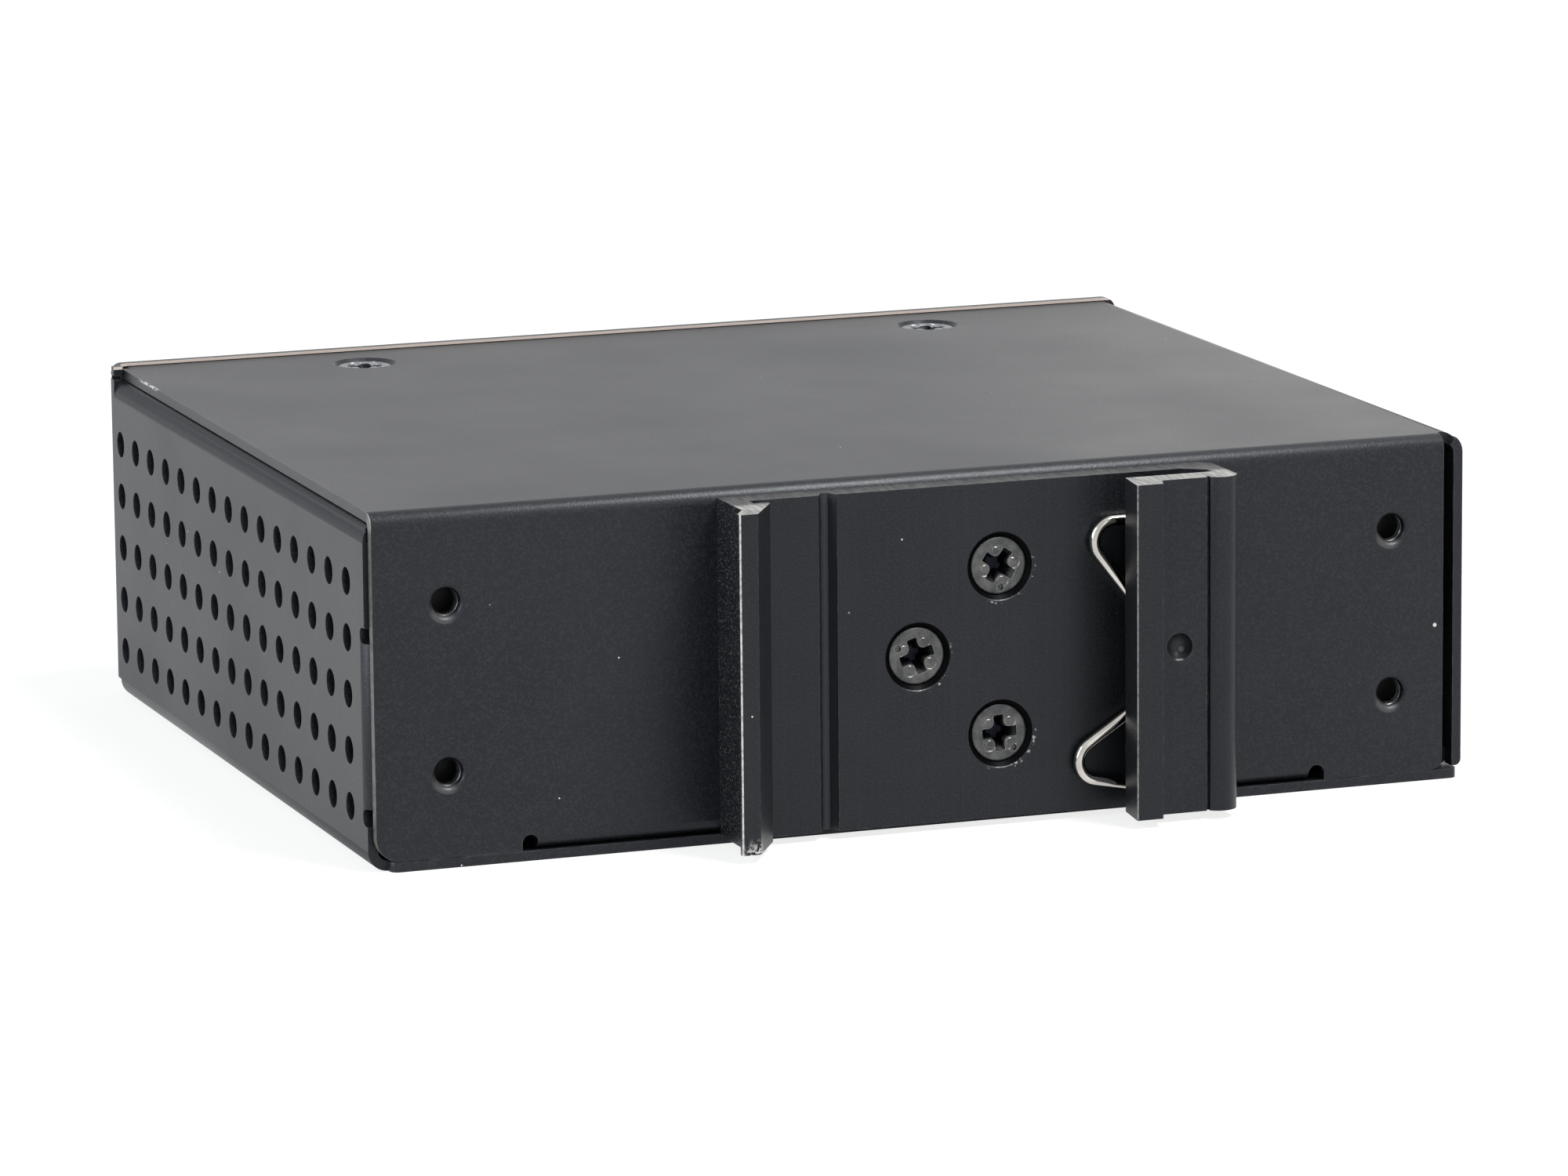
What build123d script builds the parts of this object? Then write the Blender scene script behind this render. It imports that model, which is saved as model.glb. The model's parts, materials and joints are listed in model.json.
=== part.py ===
from build123d import *
import math
import os

os.makedirs("parts", exist_ok=True)

# A small steel box for a DIN rail: it turns a copper network line into a fibre one.
# Millimetres. X runs across the case, Y from the rail clip (-Y) to the ports (+Y), Z up.
# Everything is drawn with Y = 0 on the outside of the rear panel and is moved at the end
# so that the origin lies under the middle of the whole thing's bounding box.

# Case
CASE_W = 104.5
CASE_D = 84.5
CASE_H = 32.0
SHEET = 0.9
BEND = 0.9                    # inside radius of the side bends
BEND_REAR = 0.4               # inside radius of the bend along the top of the rear panel
FLANGE = 6.0                  # how far the joining flanges reach inward
HALF_W = CASE_W / 2
SIDE_OUT = BEND + SHEET
REAR_OUT = BEND_REAR + SHEET

# Cover: top, right side and rear panel
COVER_LEFT_INSET = 0.45
COVER_SKEW = 0.55             # how much further in its left edge lies at the front
COVER_TO_FRONT = 0.3          # slit between the cover's front edge and the front panel
REAR_RIGHT_INSET = 2.1
RIGHT_SIDE_REAR_Y = 0.5
CORNER_RELIEF_Y = 1.5
CORNER_RELIEF_DEG = 50        # how far round its top bend the right side's end reaches
RIGHT_STRIP_L = 1.6           # plain end of the right side behind its bottom bend
RIGHT_STRIP_LIFT = 0.15
RIGHT_STRIP_R = 0.6
REAR_EDGE_GAP = 0.05          # between the rear panel's lower edge and the bottom sheet
COVER_FRONT_Y = CASE_D - SHEET - COVER_TO_FRONT

# Chassis: bottom, left side and front panel
FRONT_PROUD = 0.3             # the front panel stands this much above the cover
SIDE_REAR_Y = SHEET + 0.2     # the left side stops just behind the rear panel
BOTTOM_CORNER = 0.8
BOTTOM_RIGHT_INSET = 0.5
EAR_H = 0.85                  # top of the front panel, bent round the corner above a slot
SLOT_H = 0.4
SIDE_FRONT_Y = CASE_D - SIDE_OUT - 0.8

# Relief notches beside the bends
NOTCH_W = 1.5
NOTCH_TO_SIDE = 14.6
NOTCH_SPAN = CASE_W - 2 * NOTCH_TO_SIDE    # between the notches under the rear panel
NOTCH_TOP = 1.45              # height of the notch above the bottom sheet
TAB_Z0 = 4.75                 # centres of the notches above and below the left side's tab
TAB_Z1 = 21.0
TAB_LONG = 4.6
TAB_NOTCH_Y = 2.4

# Vents in both sides
VENT_D = 2.5
VENT_PITCH_Y = 5.27
VENT_PITCH_Z = 5.04
VENT_FIRST_Y = 6.2
VENT_TO_FRONT = 4.0
VENT_TO_TOP = 4.5
VENT_MID_Z = CASE_H / 2 - 1.0
VENT_COLUMNS = int((CASE_D - VENT_FIRST_Y - VENT_TO_FRONT) / VENT_PITCH_Y) + 1
VENT_ROWS = int((CASE_H - 2 * VENT_TO_TOP) / VENT_PITCH_Z) + 1

# M3 screws and tapped holes
M3_CORE_D = 2.5
M3_CLEAR_D = 3.3
M3_HEAD_D = 5.5
M3_HEAD_RIM = 0.2
M3_COUNTERSINK_D = 6.1        # in the cover, at its outside
REAR_HOLE_TO_SIDE = 7.25
REAR_HOLE_SPAN_X = CASE_W - 2 * REAR_HOLE_TO_SIDE
REAR_HOLE_SPAN_Z = 15.2
REAR_HOLE_MID_Z = CASE_H / 2 + 0.1
COLLAR_D = 4.3
COLLAR_H = 1.2
DISH_R = 0.55

# Rail clip: one sawn length of extrusion
RAIL_W = 35.0
CLIP_SHORT = 0.8              # at each end, shorter than the case is high
CLIP_LEN = CASE_H - 2 * CLIP_SHORT
CLIP_MID_Z = CASE_H / 2
CLIP_PLATE = 2.5
HOOK_WALL_X = -19.95          # outside of the left hook's wall
HOOK_SEAT_X = -17.85          # where the rail's edge stops in the left hook
HOOK_TIP_X = -16.55
HOOK_H = 8.7
HOOK_SLOT = 1.3               # room for the rail's edge
HOOK_FLARE = 1.0
GROOVE_X = -10.45
GROOVE_D = 1.1
CHANNEL_LIP_X = 16.85         # left face of the right hook
CHANNEL_RIGHT_X = 26.85
CHANNEL_INNER_X = 25.15
CHANNEL_ROOF = 4.9            # underside of the right hook, from the panel
CHANNEL_FACE = 7.4
CHANNEL_LEDGE = 8.9
CHANNEL_LEDGE_W = 2.5
BULGE_X = 23.85
CLIP_CSK_D = 6.3
CLIP_SCREW_L = 5.6
CLIP_SCREW_SUNK = (CLIP_CSK_D - M3_HEAD_D) / 2 - M3_HEAD_RIM
CLIP_SCREW_LEFT_X = -2.05
CLIP_SCREW_RIGHT_X = 5.8
STAKE_X = 21.05
STAKE_D = 2.5
CLIP_Z0 = CLIP_MID_Z - CLIP_LEN / 2

# Wire spring in the clip
WIRE_D = 1.0
WIRE_Y = -(CLIP_PLATE + 0.3 + WIRE_D / 2)
WIRE_BEND = 1.8

# Circuit board
BOARD_T = 1.6
BOARD_SIDE_GAP = 3.35
BOARD_TO_COLLARS = 3.4
BOARD_TO_FRONT = 0.8
BOARD_W = CASE_W - 2 * (SHEET + BOARD_SIDE_GAP)
BOARD_Y0 = SHEET + COLLAR_H + BOARD_TO_COLLARS
BOARD_Y1 = CASE_D - SHEET - BOARD_TO_FRONT
STANDOFF_H = 6.0
STANDOFF_D = 5.4
STANDOFF_CLEAR = 0.3
STANDOFF_X = HALF_W - FLANGE - STANDOFF_D / 2 - STANDOFF_CLEAR
STANDOFF_REAR_Y = FLANGE + STANDOFF_D / 2 + 1.3
BOARD_Z = SHEET + STANDOFF_H
BOARD_TOP = BOARD_Z + BOARD_T

# Insulating film: over the bottom and up behind the rear panel, clear of the screws' tips
FILM_T = 0.25
FILM_BEND = 0.8
FILM_CLEAR = 0.3
FILM_Z = 2 * SHEET            # it lies on the cover's bottom flanges
FILM_TOP_GAP = 1.2
FILM_Y = CLIP_SCREW_L - CLIP_PLATE + CLIP_SCREW_SUNK + FILM_CLEAR

# Front row: inlet, lamps, copper port and fibre port share the width with even gaps
PORT_CLEAR = 0.3
PORT_PROUD = 0.4
PORT_Y = CASE_D + PORT_PROUD
INLET_POLES, INLET_PITCH, INLET_ENDS, INLET_H, INLET_D = 4, 5.08, 1.4, 8.6, 12.0
INLET_W = INLET_POLES * INLET_PITCH + INLET_ENDS
INLET_WALL = 0.9
INLET_PIN_W = 1.0
INLET_PIN_BACK = 1.6
LAMP_COLUMNS, LAMP_ROWS, LAMP_PITCH, LAMP_D, LAMP_BLOCK_D = 2, 2, 5.0, 3.0, 6.0
LAMP_BLOCK_W = LAMP_COLUMNS * LAMP_PITCH
LAMP_BLOCK_Y = CASE_D - SHEET - 0.6
JACK_W, JACK_H, JACK_D = 16.0, 13.4, 21.3
JACK_CHEEK, JACK_FLOOR, JACK_LINTEL, JACK_MOUTH_D = 2.1, 2.2, 3.2, 12.5
JACK_MOUTH_W = JACK_W - 2 * JACK_CHEEK
JACK_MOUTH_H = JACK_H - JACK_FLOOR - JACK_LINTEL
SHIELD_T = 0.3
FIBRE_PITCH, FIBRE_MOUTH_W, FIBRE_SIDE_WALL = 12.7, 7.6, 2.55
FIBRE_W = FIBRE_PITCH + FIBRE_MOUTH_W + 2 * FIBRE_SIDE_WALL
FIBRE_H, FIBRE_WALL, FIBRE_D, FIBRE_MOUTH_D = 12.7, 1.7, 39.0, 17.0
FIBRE_MOUTH_H = FIBRE_H - 2 * FIBRE_WALL
FIBRE_MID_Z = BOARD_TOP + FIBRE_H / 2
SLEEVE_D, SLEEVE_BORE, SLEEVE_L = 4.4, 2.5, 8.0
FRONT_GAP = (CASE_W - 2 * SHEET - INLET_W - LAMP_BLOCK_W - JACK_W - FIBRE_W) / 5
INLET_X = -HALF_W + SHEET + FRONT_GAP + INLET_W / 2
LAMP_X = INLET_X + INLET_W / 2 + FRONT_GAP + LAMP_BLOCK_W / 2
JACK_X = LAMP_X + LAMP_BLOCK_W / 2 + FRONT_GAP + JACK_W / 2
FIBRE_X = JACK_X + JACK_W / 2 + FRONT_GAP + FIBRE_W / 2
INLET_BACK = PORT_Y - INLET_D - INLET_PIN_BACK
JACK_BACK = PORT_Y - JACK_D
FIBRE_BACK = PORT_Y - FIBRE_D

# Earth point, above the inlet and clear of the chassis' flange
EARTH_HEAD_D = 7.0
EARTH_HEAD_H = 2.6
EARTH_CORE_D = 3.3
EARTH_CLEAR_D = 4.2
EARTH_SCREW_L = 7.0
EARTH_NUT_D = 7.8
EARTH_NUT_H = 3.0
EARTH_X = -HALF_W + FLANGE + EARTH_NUT_D / 2 + 0.3
EARTH_Z = (BOARD_TOP + INLET_H + CASE_H - SHEET) / 2
WASHER_T = 0.8

# Bracket behind the front panel, between the earth nut and its mirror image
BRACKET_T = 1.6
BRACKET_DEPTH = 12.0
BRACKET_HALF = -EARTH_X - EARTH_NUT_D / 2 - 0.5
BRACKET_OVER_PORTS = 0.6
BRACKET_FOOT_Z = BOARD_TOP + max(JACK_H, FIBRE_H) + BRACKET_OVER_PORTS
BRACKET_SCREW_IN = 8.65
COVER_SCREW_SPAN = 2 * (BRACKET_HALF - BRACKET_SCREW_IN)
COVER_SCREW_MID_X = 0.3
COVER_SCREW_Y = CASE_D - 7.9
COVER_SCREW_L = 5.0

# Parts on the board, set out from the ports backwards
ROW_GAP = 0.8
SURGE_D, SURGE_T = 9.2, 3.2
SURGE_X, SURGE_Y = INLET_X + 1.0, INLET_BACK - 1.5 - SURGE_T / 2
FUSE_L, FUSE_W, FUSE_H, FUSE_CAP_L = 6.0, 2.8, 2.6, 1.6
FUSE_X, FUSE_Y = INLET_X + 12.0, SURGE_Y - 2.2
STANDOFF_LEFT_Y = SURGE_Y - SURGE_T / 2 - 1.0 - STANDOFF_D / 2
STANDOFF_RIGHT_Y = FIBRE_BACK - 2.2 - STANDOFF_D / 2
CAN_D, CAN_H, BIG_CAN_D, BIG_CAN_H = 8.0, 12.5, 10.0, 16.0
CAN_Y = STANDOFF_LEFT_Y - STANDOFF_D / 2 - ROW_GAP - CAN_D / 2
BIG_CAN_X, BIG_CAN_Y = INLET_X + 5.2, CAN_Y - CAN_D / 2 - ROW_GAP - BIG_CAN_D / 2
COIL_D, COIL_H, COIL_CHEEK, COIL_NECK = 9.0, 6.0, 0.8, 1.6
TRAFO_W, TRAFO_L, TRAFO_H, TRAFO_LEG = 12.7, 9.2, 5.8, 1.6
TRAFO_Y = JACK_BACK - 1.0 - TRAFO_LEG - TRAFO_L / 2
CHIP_LEG = 1.1
MAIN_CHIP, SECOND_CHIP, CHIP_H = 14.0, 10.0, 1.2
MAIN_CHIP_Y = TRAFO_Y - TRAFO_L / 2 - TRAFO_LEG - ROW_GAP - CHIP_LEG - MAIN_CHIP / 2
SECOND_CHIP_Y = JACK_BACK - 15.0
CRYSTAL_L, CRYSTAL_W, CRYSTAL_H, CRYSTAL_RIM = 11.0, 4.6, 3.6, 0.3
CRYSTAL_X, CRYSTAL_Y = FIBRE_X - 7.0, FIBRE_BACK - 1.0 - CRYSTAL_W / 2 - CRYSTAL_RIM
MODULE_L, MODULE_W, MODULE_H, MODULE_LIFT = 22.0, 9.5, 11.1, 0.5
MODULE_X = -STANDOFF_X + STANDOFF_D / 2 + 2.5 + MODULE_L / 2
MODULE_Y = BOARD_Y0 + 1.0 + MODULE_W / 2
CANS = [(INLET_X - 5.0, CAN_Y, CAN_D, CAN_H), (INLET_X + 5.0, CAN_Y, CAN_D, CAN_H),
        (BIG_CAN_X, BIG_CAN_Y, BIG_CAN_D, BIG_CAN_H)]
COILS = [(INLET_X - 5.5, BIG_CAN_Y), (FIBRE_X, CRYSTAL_Y - CRYSTAL_W / 2 - 1.8 - COIL_D / 2)]

SHIFT_Y = (CHANNEL_LEDGE - (CASE_D + WASHER_T + EARTH_HEAD_H)) / 2


# Helpers
def along_x(face, x0, x1):
    """A face drawn in (y, z), drawn out from x0 to x1."""
    return extrude(Plane.YZ.offset(x0) * face, x1 - x0)


def along_y(face, y0, y1):
    """A face drawn in (x, z), drawn out from y0 to y1."""
    return extrude(Plane.XZ.offset(-y1) * face, y1 - y0)


def along_z(face, z0, z1):
    """A face drawn in (x, y), drawn out from z0 to z1."""
    return extrude(Plane.XY.offset(z0) * face, z1 - z0)


def block(x0, x1, y0, y1, z0, z1):
    return Pos((x0 + x1) / 2, (y0 + y1) / 2, (z0 + z1) / 2) * Box(x1 - x0, y1 - y0, z1 - z0)


def bent_sheet(outer, inner, radius, thickness=SHEET):
    """Section of folded sheet: matching outer and inner corners, every bend the same way."""
    outside = FilletPolyline(*outer, radius=radius + thickness)
    inside = FilletPolyline(*inner, radius=radius)
    ends = Line(outer[-1], inner[-1]) + Line(inner[0], outer[0])
    return make_face(outside + inside + ends)


def rod_y(x, z, diameter, y0, y1):
    return Pos(x, 0, z) * along_y(Circle(diameter / 2), y0, y1)


def rod_z(x, y, diameter, z0, z1):
    return Pos(x, y, 0) * along_z(Circle(diameter / 2), z0, z1)


def one(solids):
    """Several separate solids kept together in one node."""
    return Compound(children=list(solids))


def save(part, name):
    moved = Pos(0, SHIFT_Y, 0) * part
    export_step(moved, f"parts/{name}.step")


# Screws
def cross_recess(size, depth):
    """The cutter for a cross recess, opening upward at z = 0."""
    wing = Pos(0, 0, -depth / 2) * Box(size, size * 0.24, depth)
    core = Pos(0, 0, -depth * 0.6) * Cone(size * 0.08, size * 0.26, depth * 1.2)
    return wing + Rot(0, 0, 90) * wing + core


def flat_screw(length):
    """M3 countersunk screw, head up, top of the head at z = 0, threads left to the looks."""
    r_head, r_core = M3_HEAD_D / 2, M3_CORE_D / 2
    rim = M3_HEAD_RIM
    cone_end = rim + (r_head - r_core)
    outline = Polyline((0, 0), (r_head - 0.1, 0), (r_head, -0.1), (r_head, -rim),
                       (r_core, -cone_end), (r_core, -length + 0.4),
                       (r_core - 0.4, -length), (0, -length), close=True)
    body = revolve(Plane.XZ * make_face(outline), Axis.Z)
    return body - cross_recess(M3_HEAD_D * 0.56, 1.1)


def pan_screw(head_d, head_h, core_d, length):
    """Pan-head screw, underside of the head at z = 0."""
    outline = Polyline((0, head_h), (head_d * 0.3, head_h), (head_d * 0.44, head_h * 0.65),
                       (head_d / 2, head_h * 0.3), (head_d / 2, 0), (core_d / 2, 0),
                       (core_d / 2, -length), (0, -length), close=True)
    body = revolve(Plane.XZ * make_face(outline), Axis.Z)
    return body - Pos(0, 0, head_h) * cross_recess(head_d * 0.56, head_h * 0.6)


# Tapped holes in the rear panel
REAR_HOLES = [(sx * REAR_HOLE_SPAN_X / 2, REAR_HOLE_MID_Z + sz * REAR_HOLE_SPAN_Z / 2)
              for sx in (-1, 1) for sz in (-1, 1)]
CLIP_HOLES = [(CLIP_SCREW_RIGHT_X, CLIP_MID_Z + REAR_HOLE_SPAN_Z / 2),
              (CLIP_SCREW_LEFT_X, CLIP_MID_Z),
              (CLIP_SCREW_RIGHT_X, CLIP_MID_Z - REAR_HOLE_SPAN_Z / 2)]
COVER_HOLES = [(COVER_SCREW_MID_X + s * COVER_SCREW_SPAN / 2, COVER_SCREW_Y) for s in (-1, 1)]


def collar(x, z):
    return rod_y(x, z, COLLAR_D, SHEET, SHEET + COLLAR_H)


def dished_bore(x, z):
    """Bore of a punched and tapped hole, with the rim drawn in at the outside."""
    r = M3_CORE_D / 2
    deep = SHEET + COLLAR_H
    outline = make_face(
        Polyline((0, -0.1), (r + DISH_R, -0.1), (r + DISH_R, 0))
        + ThreePointArc((r + DISH_R, 0), (r + DISH_R * (1 - math.sqrt(0.5)),
                                          DISH_R * (1 - math.sqrt(0.5))), (r, DISH_R))
        + Polyline((r, DISH_R), (r, deep + 0.1), (0, deep + 0.1), (0, -0.1)))
    return Pos(x, 0, z) * revolve(outline, Axis.Y)


def vents(x0, x1):
    """The field of round vents, as cutters running across one side."""
    first_z = VENT_MID_Z - (VENT_ROWS - 1) * VENT_PITCH_Z / 2
    spots = [Pos(VENT_FIRST_Y + i * VENT_PITCH_Y, first_z + j * VENT_PITCH_Z)
             for i in range(VENT_COLUMNS) for j in range(VENT_ROWS)]
    return along_x(Sketch() + [p * Circle(VENT_D / 2) for p in spots], x0, x1)


# Cover
def make_cover():
    left = -HALF_W + COVER_LEFT_INSET
    right = HALF_W
    seat = SHEET
    wrap = bent_sheet(
        [(left, CASE_H), (right, CASE_H), (right, seat), (right - FLANGE, seat)],
        [(left, CASE_H - SHEET), (right - SHEET, CASE_H - SHEET), (right - SHEET, seat + SHEET),
         (right - FLANGE, seat + SHEET)], BEND)
    body = along_y(wrap, RIGHT_SIDE_REAR_Y, COVER_FRONT_Y)
    # the relief at the rear right corner cuts the sheet square across, part way round the bend
    bend_x, bend_z = right - SIDE_OUT, CASE_H - SIDE_OUT
    turn = math.radians(CORNER_RELIEF_DEG)
    far_x, far_z = bend_x + 2 * SIDE_OUT * math.cos(turn), bend_z + 2 * SIDE_OUT * math.sin(turn)
    relief = Polyline((bend_x, bend_z), (far_x, far_z), (left - 1, far_z), (left - 1, bend_z),
                      close=True)
    body -= along_y(make_face(relief), -1, CORNER_RELIEF_Y)
    # behind its bottom bend the right side ends in a plain strip
    strip_y = RIGHT_SIDE_REAR_Y + RIGHT_STRIP_L
    body -= block(right - FLANGE - 1, right + 1, -1, strip_y, 0, seat + SIDE_OUT)
    strip_z = seat + RIGHT_STRIP_LIFT
    strip = Pos(right - SHEET / 2, (strip_z + seat + SIDE_OUT) / 2) * Rectangle(
        SHEET, seat + SIDE_OUT - strip_z)
    outer = strip.vertices().sort_by(Axis.Y)[:2].sort_by(Axis.X)[-1]
    body += along_y(fillet(outer, min(RIGHT_STRIP_R, 0.8 * SHEET)), RIGHT_SIDE_REAR_Y, strip_y)
    # the left edge runs a little askew and its front corner is nipped off round the chassis
    askew = Polyline((left, 0), (left + COVER_SKEW, SIDE_FRONT_Y), (left + COVER_SKEW, CASE_D),
                     (left - 1, CASE_D), (left - 1, 0), close=True)
    body -= along_z(make_face(askew), CASE_H - SHEET - 1, CASE_H + 1)
    body -= block(left - 1, left + SIDE_OUT - COVER_LEFT_INSET, COVER_FRONT_Y - BEND,
                  COVER_FRONT_Y + 1, CASE_H - SHEET - 1, CASE_H + 1)

    rear_right = HALF_W - REAR_RIGHT_INSET
    rear_left = left
    split_z = 5.0
    hood = bent_sheet([(CORNER_RELIEF_Y + 1, CASE_H), (0, CASE_H), (0, split_z)],
                      [(CORNER_RELIEF_Y + 1, CASE_H - SHEET), (SHEET, CASE_H - SHEET),
                       (SHEET, split_z)], BEND_REAR)
    body += along_x(hood, rear_left, rear_right)

    notch_x = NOTCH_SPAN / 2
    foot = bent_sheet([(0, split_z), (0, seat), (FLANGE, seat)],
                      [(SHEET, split_z), (SHEET, seat + SHEET), (FLANGE, seat + SHEET)],
                      BEND_REAR)
    body += along_x(foot, -notch_x, notch_x)
    edge_z = seat + REAR_EDGE_GAP
    for inner, outer, corner in ((-notch_x, rear_left, 2.2), (notch_x, rear_right, 1.0)):
        panel = Rectangle(abs(outer - inner), split_z - edge_z)
        panel = Pos((inner + outer) / 2, (split_z + edge_z) / 2) * panel
        lower = panel.vertices().sort_by(Axis.Y)[:2]
        sharp = min(lower, key=lambda v: abs(v.X - outer))
        body += along_y(fillet(sharp, corner), 0, SHEET)
    for side in (-1, 1):
        slot = Pos(side * notch_x, seat + NOTCH_TOP - NOTCH_W / 2) * Circle(NOTCH_W / 2)
        slot += Pos(side * notch_x, seat) * Rectangle(NOTCH_W, 2 * (NOTCH_TOP - NOTCH_W / 2))
        body -= along_y(slot, -1, FLANGE + 1)

    for x, z in REAR_HOLES + CLIP_HOLES:
        body += collar(x, z)
    for x, z in REAR_HOLES + CLIP_HOLES:
        body -= dished_bore(x, z)
    cone_top = M3_COUNTERSINK_D / 2
    for x, y in COVER_HOLES:
        body -= Pos(x, y, CASE_H - SHEET / 2) * Cone(cone_top - SHEET, cone_top, SHEET)
    body -= vents(HALF_W - SHEET - 0.5, HALF_W + 0.5)
    return body


# Chassis
def front_cutouts():
    """Openings for the ports, lamps and earth screw, drawn in (x, z)."""
    grow = 2 * PORT_CLEAR
    spots = Sketch()
    for x, w, h in ((JACK_X, JACK_W, JACK_H), (FIBRE_X, FIBRE_W, FIBRE_H),
                    (INLET_X, INLET_W, INLET_H)):
        spots += Pos(x, BOARD_TOP + h / 2) * Rectangle(w + grow, h + grow)
    for x, z in lamp_places():
        spots += Pos(x, z) * Circle(LAMP_D / 2 + 0.1)
    spots += Pos(EARTH_X, EARTH_Z) * Circle(EARTH_CLEAR_D / 2)
    return spots


def make_chassis():
    left = -HALF_W
    right = HALF_W - BOTTOM_RIGHT_INSET
    top = CASE_H - SHEET
    tray = bent_sheet(
        [(right, 0), (left, 0), (left, top), (left + FLANGE, top)],
        [(right, SHEET), (left + SHEET, SHEET), (left + SHEET, top - SHEET),
         (left + FLANGE, top - SHEET)], BEND)
    front_y = SIDE_FRONT_Y
    body = along_y(tray, SIDE_REAR_Y, front_y)
    # its flange stops clear of the bend along the top of the rear panel
    body -= block(left + COVER_LEFT_INSET - 0.1, left + FLANGE + 1, 0, REAR_OUT + 0.2,
                  top - SIDE_OUT, top + 1)

    # the bottom sheet reaches under the rear panel and under the front panel
    floor = Pos((left + SIDE_OUT + right) / 2, CASE_D / 2) * Rectangle(
        right - left - SIDE_OUT, CASE_D)
    floor = fillet(floor.vertices(), BOTTOM_CORNER)
    body += along_z(floor, 0, SHEET)

    # the left side wraps round the front corner into the front panel
    wrap = bent_sheet(
        [(left, front_y - 2), (left, CASE_D), (HALF_W - 0.1, CASE_D)],
        [(left + SHEET, front_y - 2), (left + SHEET, CASE_D - SHEET),
         (HALF_W - 0.1, CASE_D - SHEET)], BEND)
    top_z = CASE_H + FRONT_PROUD
    panel = along_z(wrap, SIDE_OUT, top_z)
    panel -= block(left - 1, left + SIDE_OUT + 1, front_y - 3, front_y, top - SIDE_OUT, top_z + 1)
    panel += block(left + SIDE_OUT, HALF_W - 0.1, CASE_D - SHEET, CASE_D, SHEET, SIDE_OUT)
    # a slot frees the panel's top from the side's top bend
    ear_z = top_z - EAR_H
    panel -= block(left - 1, left + SIDE_OUT, front_y - 1, CASE_D + 1, ear_z - SLOT_H, ear_z)
    body += panel
    round_end = Pos(0, (SHEET + top_z) / 2) * Rectangle(CASE_W - 0.1, top_z - SHEET)
    tops = round_end.vertices().sort_by(Axis.Y)[2:]
    round_end = fillet(tops, 1.2)
    trim = Pos(0, (SHEET + top_z) / 2) * Rectangle(CASE_W + 4, top_z - SHEET + 4) - round_end
    trim &= Pos(0, top_z) * Rectangle(CASE_W + 4, 5)
    body -= along_y(trim, CASE_D - SIDE_OUT, CASE_D + 1)

    # tab of the left side, bent in behind the rear panel
    tab = bent_sheet(
        [(left, SIDE_REAR_Y + 6), (left, SHEET + 0.1), (left + TAB_LONG, SHEET + 0.1)],
        [(left + SHEET, SIDE_REAR_Y + 6), (left + SHEET, 2 * SHEET + 0.1),
         (left + TAB_LONG, 2 * SHEET + 0.1)], BEND_REAR)
    body -= block(left - 1, left + 4, 0, SIDE_REAR_Y + 1.3, TAB_Z0, TAB_Z1)
    body += along_z(tab, TAB_Z0, TAB_Z1)
    for z in (TAB_Z0, TAB_Z1):
        notch = Pos(TAB_NOTCH_Y - NOTCH_W / 2, z) * Circle(NOTCH_W / 2)
        notch += Pos((TAB_NOTCH_Y - NOTCH_W / 2) / 2, z) * Rectangle(TAB_NOTCH_Y - NOTCH_W / 2,
                                                                      NOTCH_W)
        body -= along_x(notch, left - 1, left + TAB_LONG + 1)

    body -= vents(left - 0.5, left + SHEET + 0.5)
    body -= along_y(front_cutouts(), CASE_D - SHEET - 0.5, CASE_D + 0.5)
    for x, y in standoff_places():
        body -= Pos(x, y, 0) * along_z(RegularPolygon(STANDOFF_D / 2 - 0.3, 6), -0.1, SHEET + 0.1)
    return body


def make_bracket():
    """Angle strip behind the front panel that takes the two cover screws."""
    top = CASE_H - SHEET
    wall = CASE_D - SHEET
    section = bent_sheet(
        [(wall - BRACKET_DEPTH, top), (wall, top), (wall, BRACKET_FOOT_Z)],
        [(wall - BRACKET_DEPTH, top - BRACKET_T), (wall - BRACKET_T, top - BRACKET_T),
         (wall - BRACKET_T, BRACKET_FOOT_Z)], BEND, BRACKET_T)
    body = along_x(section, -BRACKET_HALF, BRACKET_HALF)
    cone_top = M3_COUNTERSINK_D / 2 - SHEET
    depth = cone_top - M3_CORE_D / 2
    for x, y in COVER_HOLES:
        body -= Pos(x, y, top - depth / 2) * Cone(M3_CORE_D / 2, cone_top, depth)
        body -= rod_z(x, y, M3_CORE_D, top - BRACKET_T - 1, top)
    return body


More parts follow.
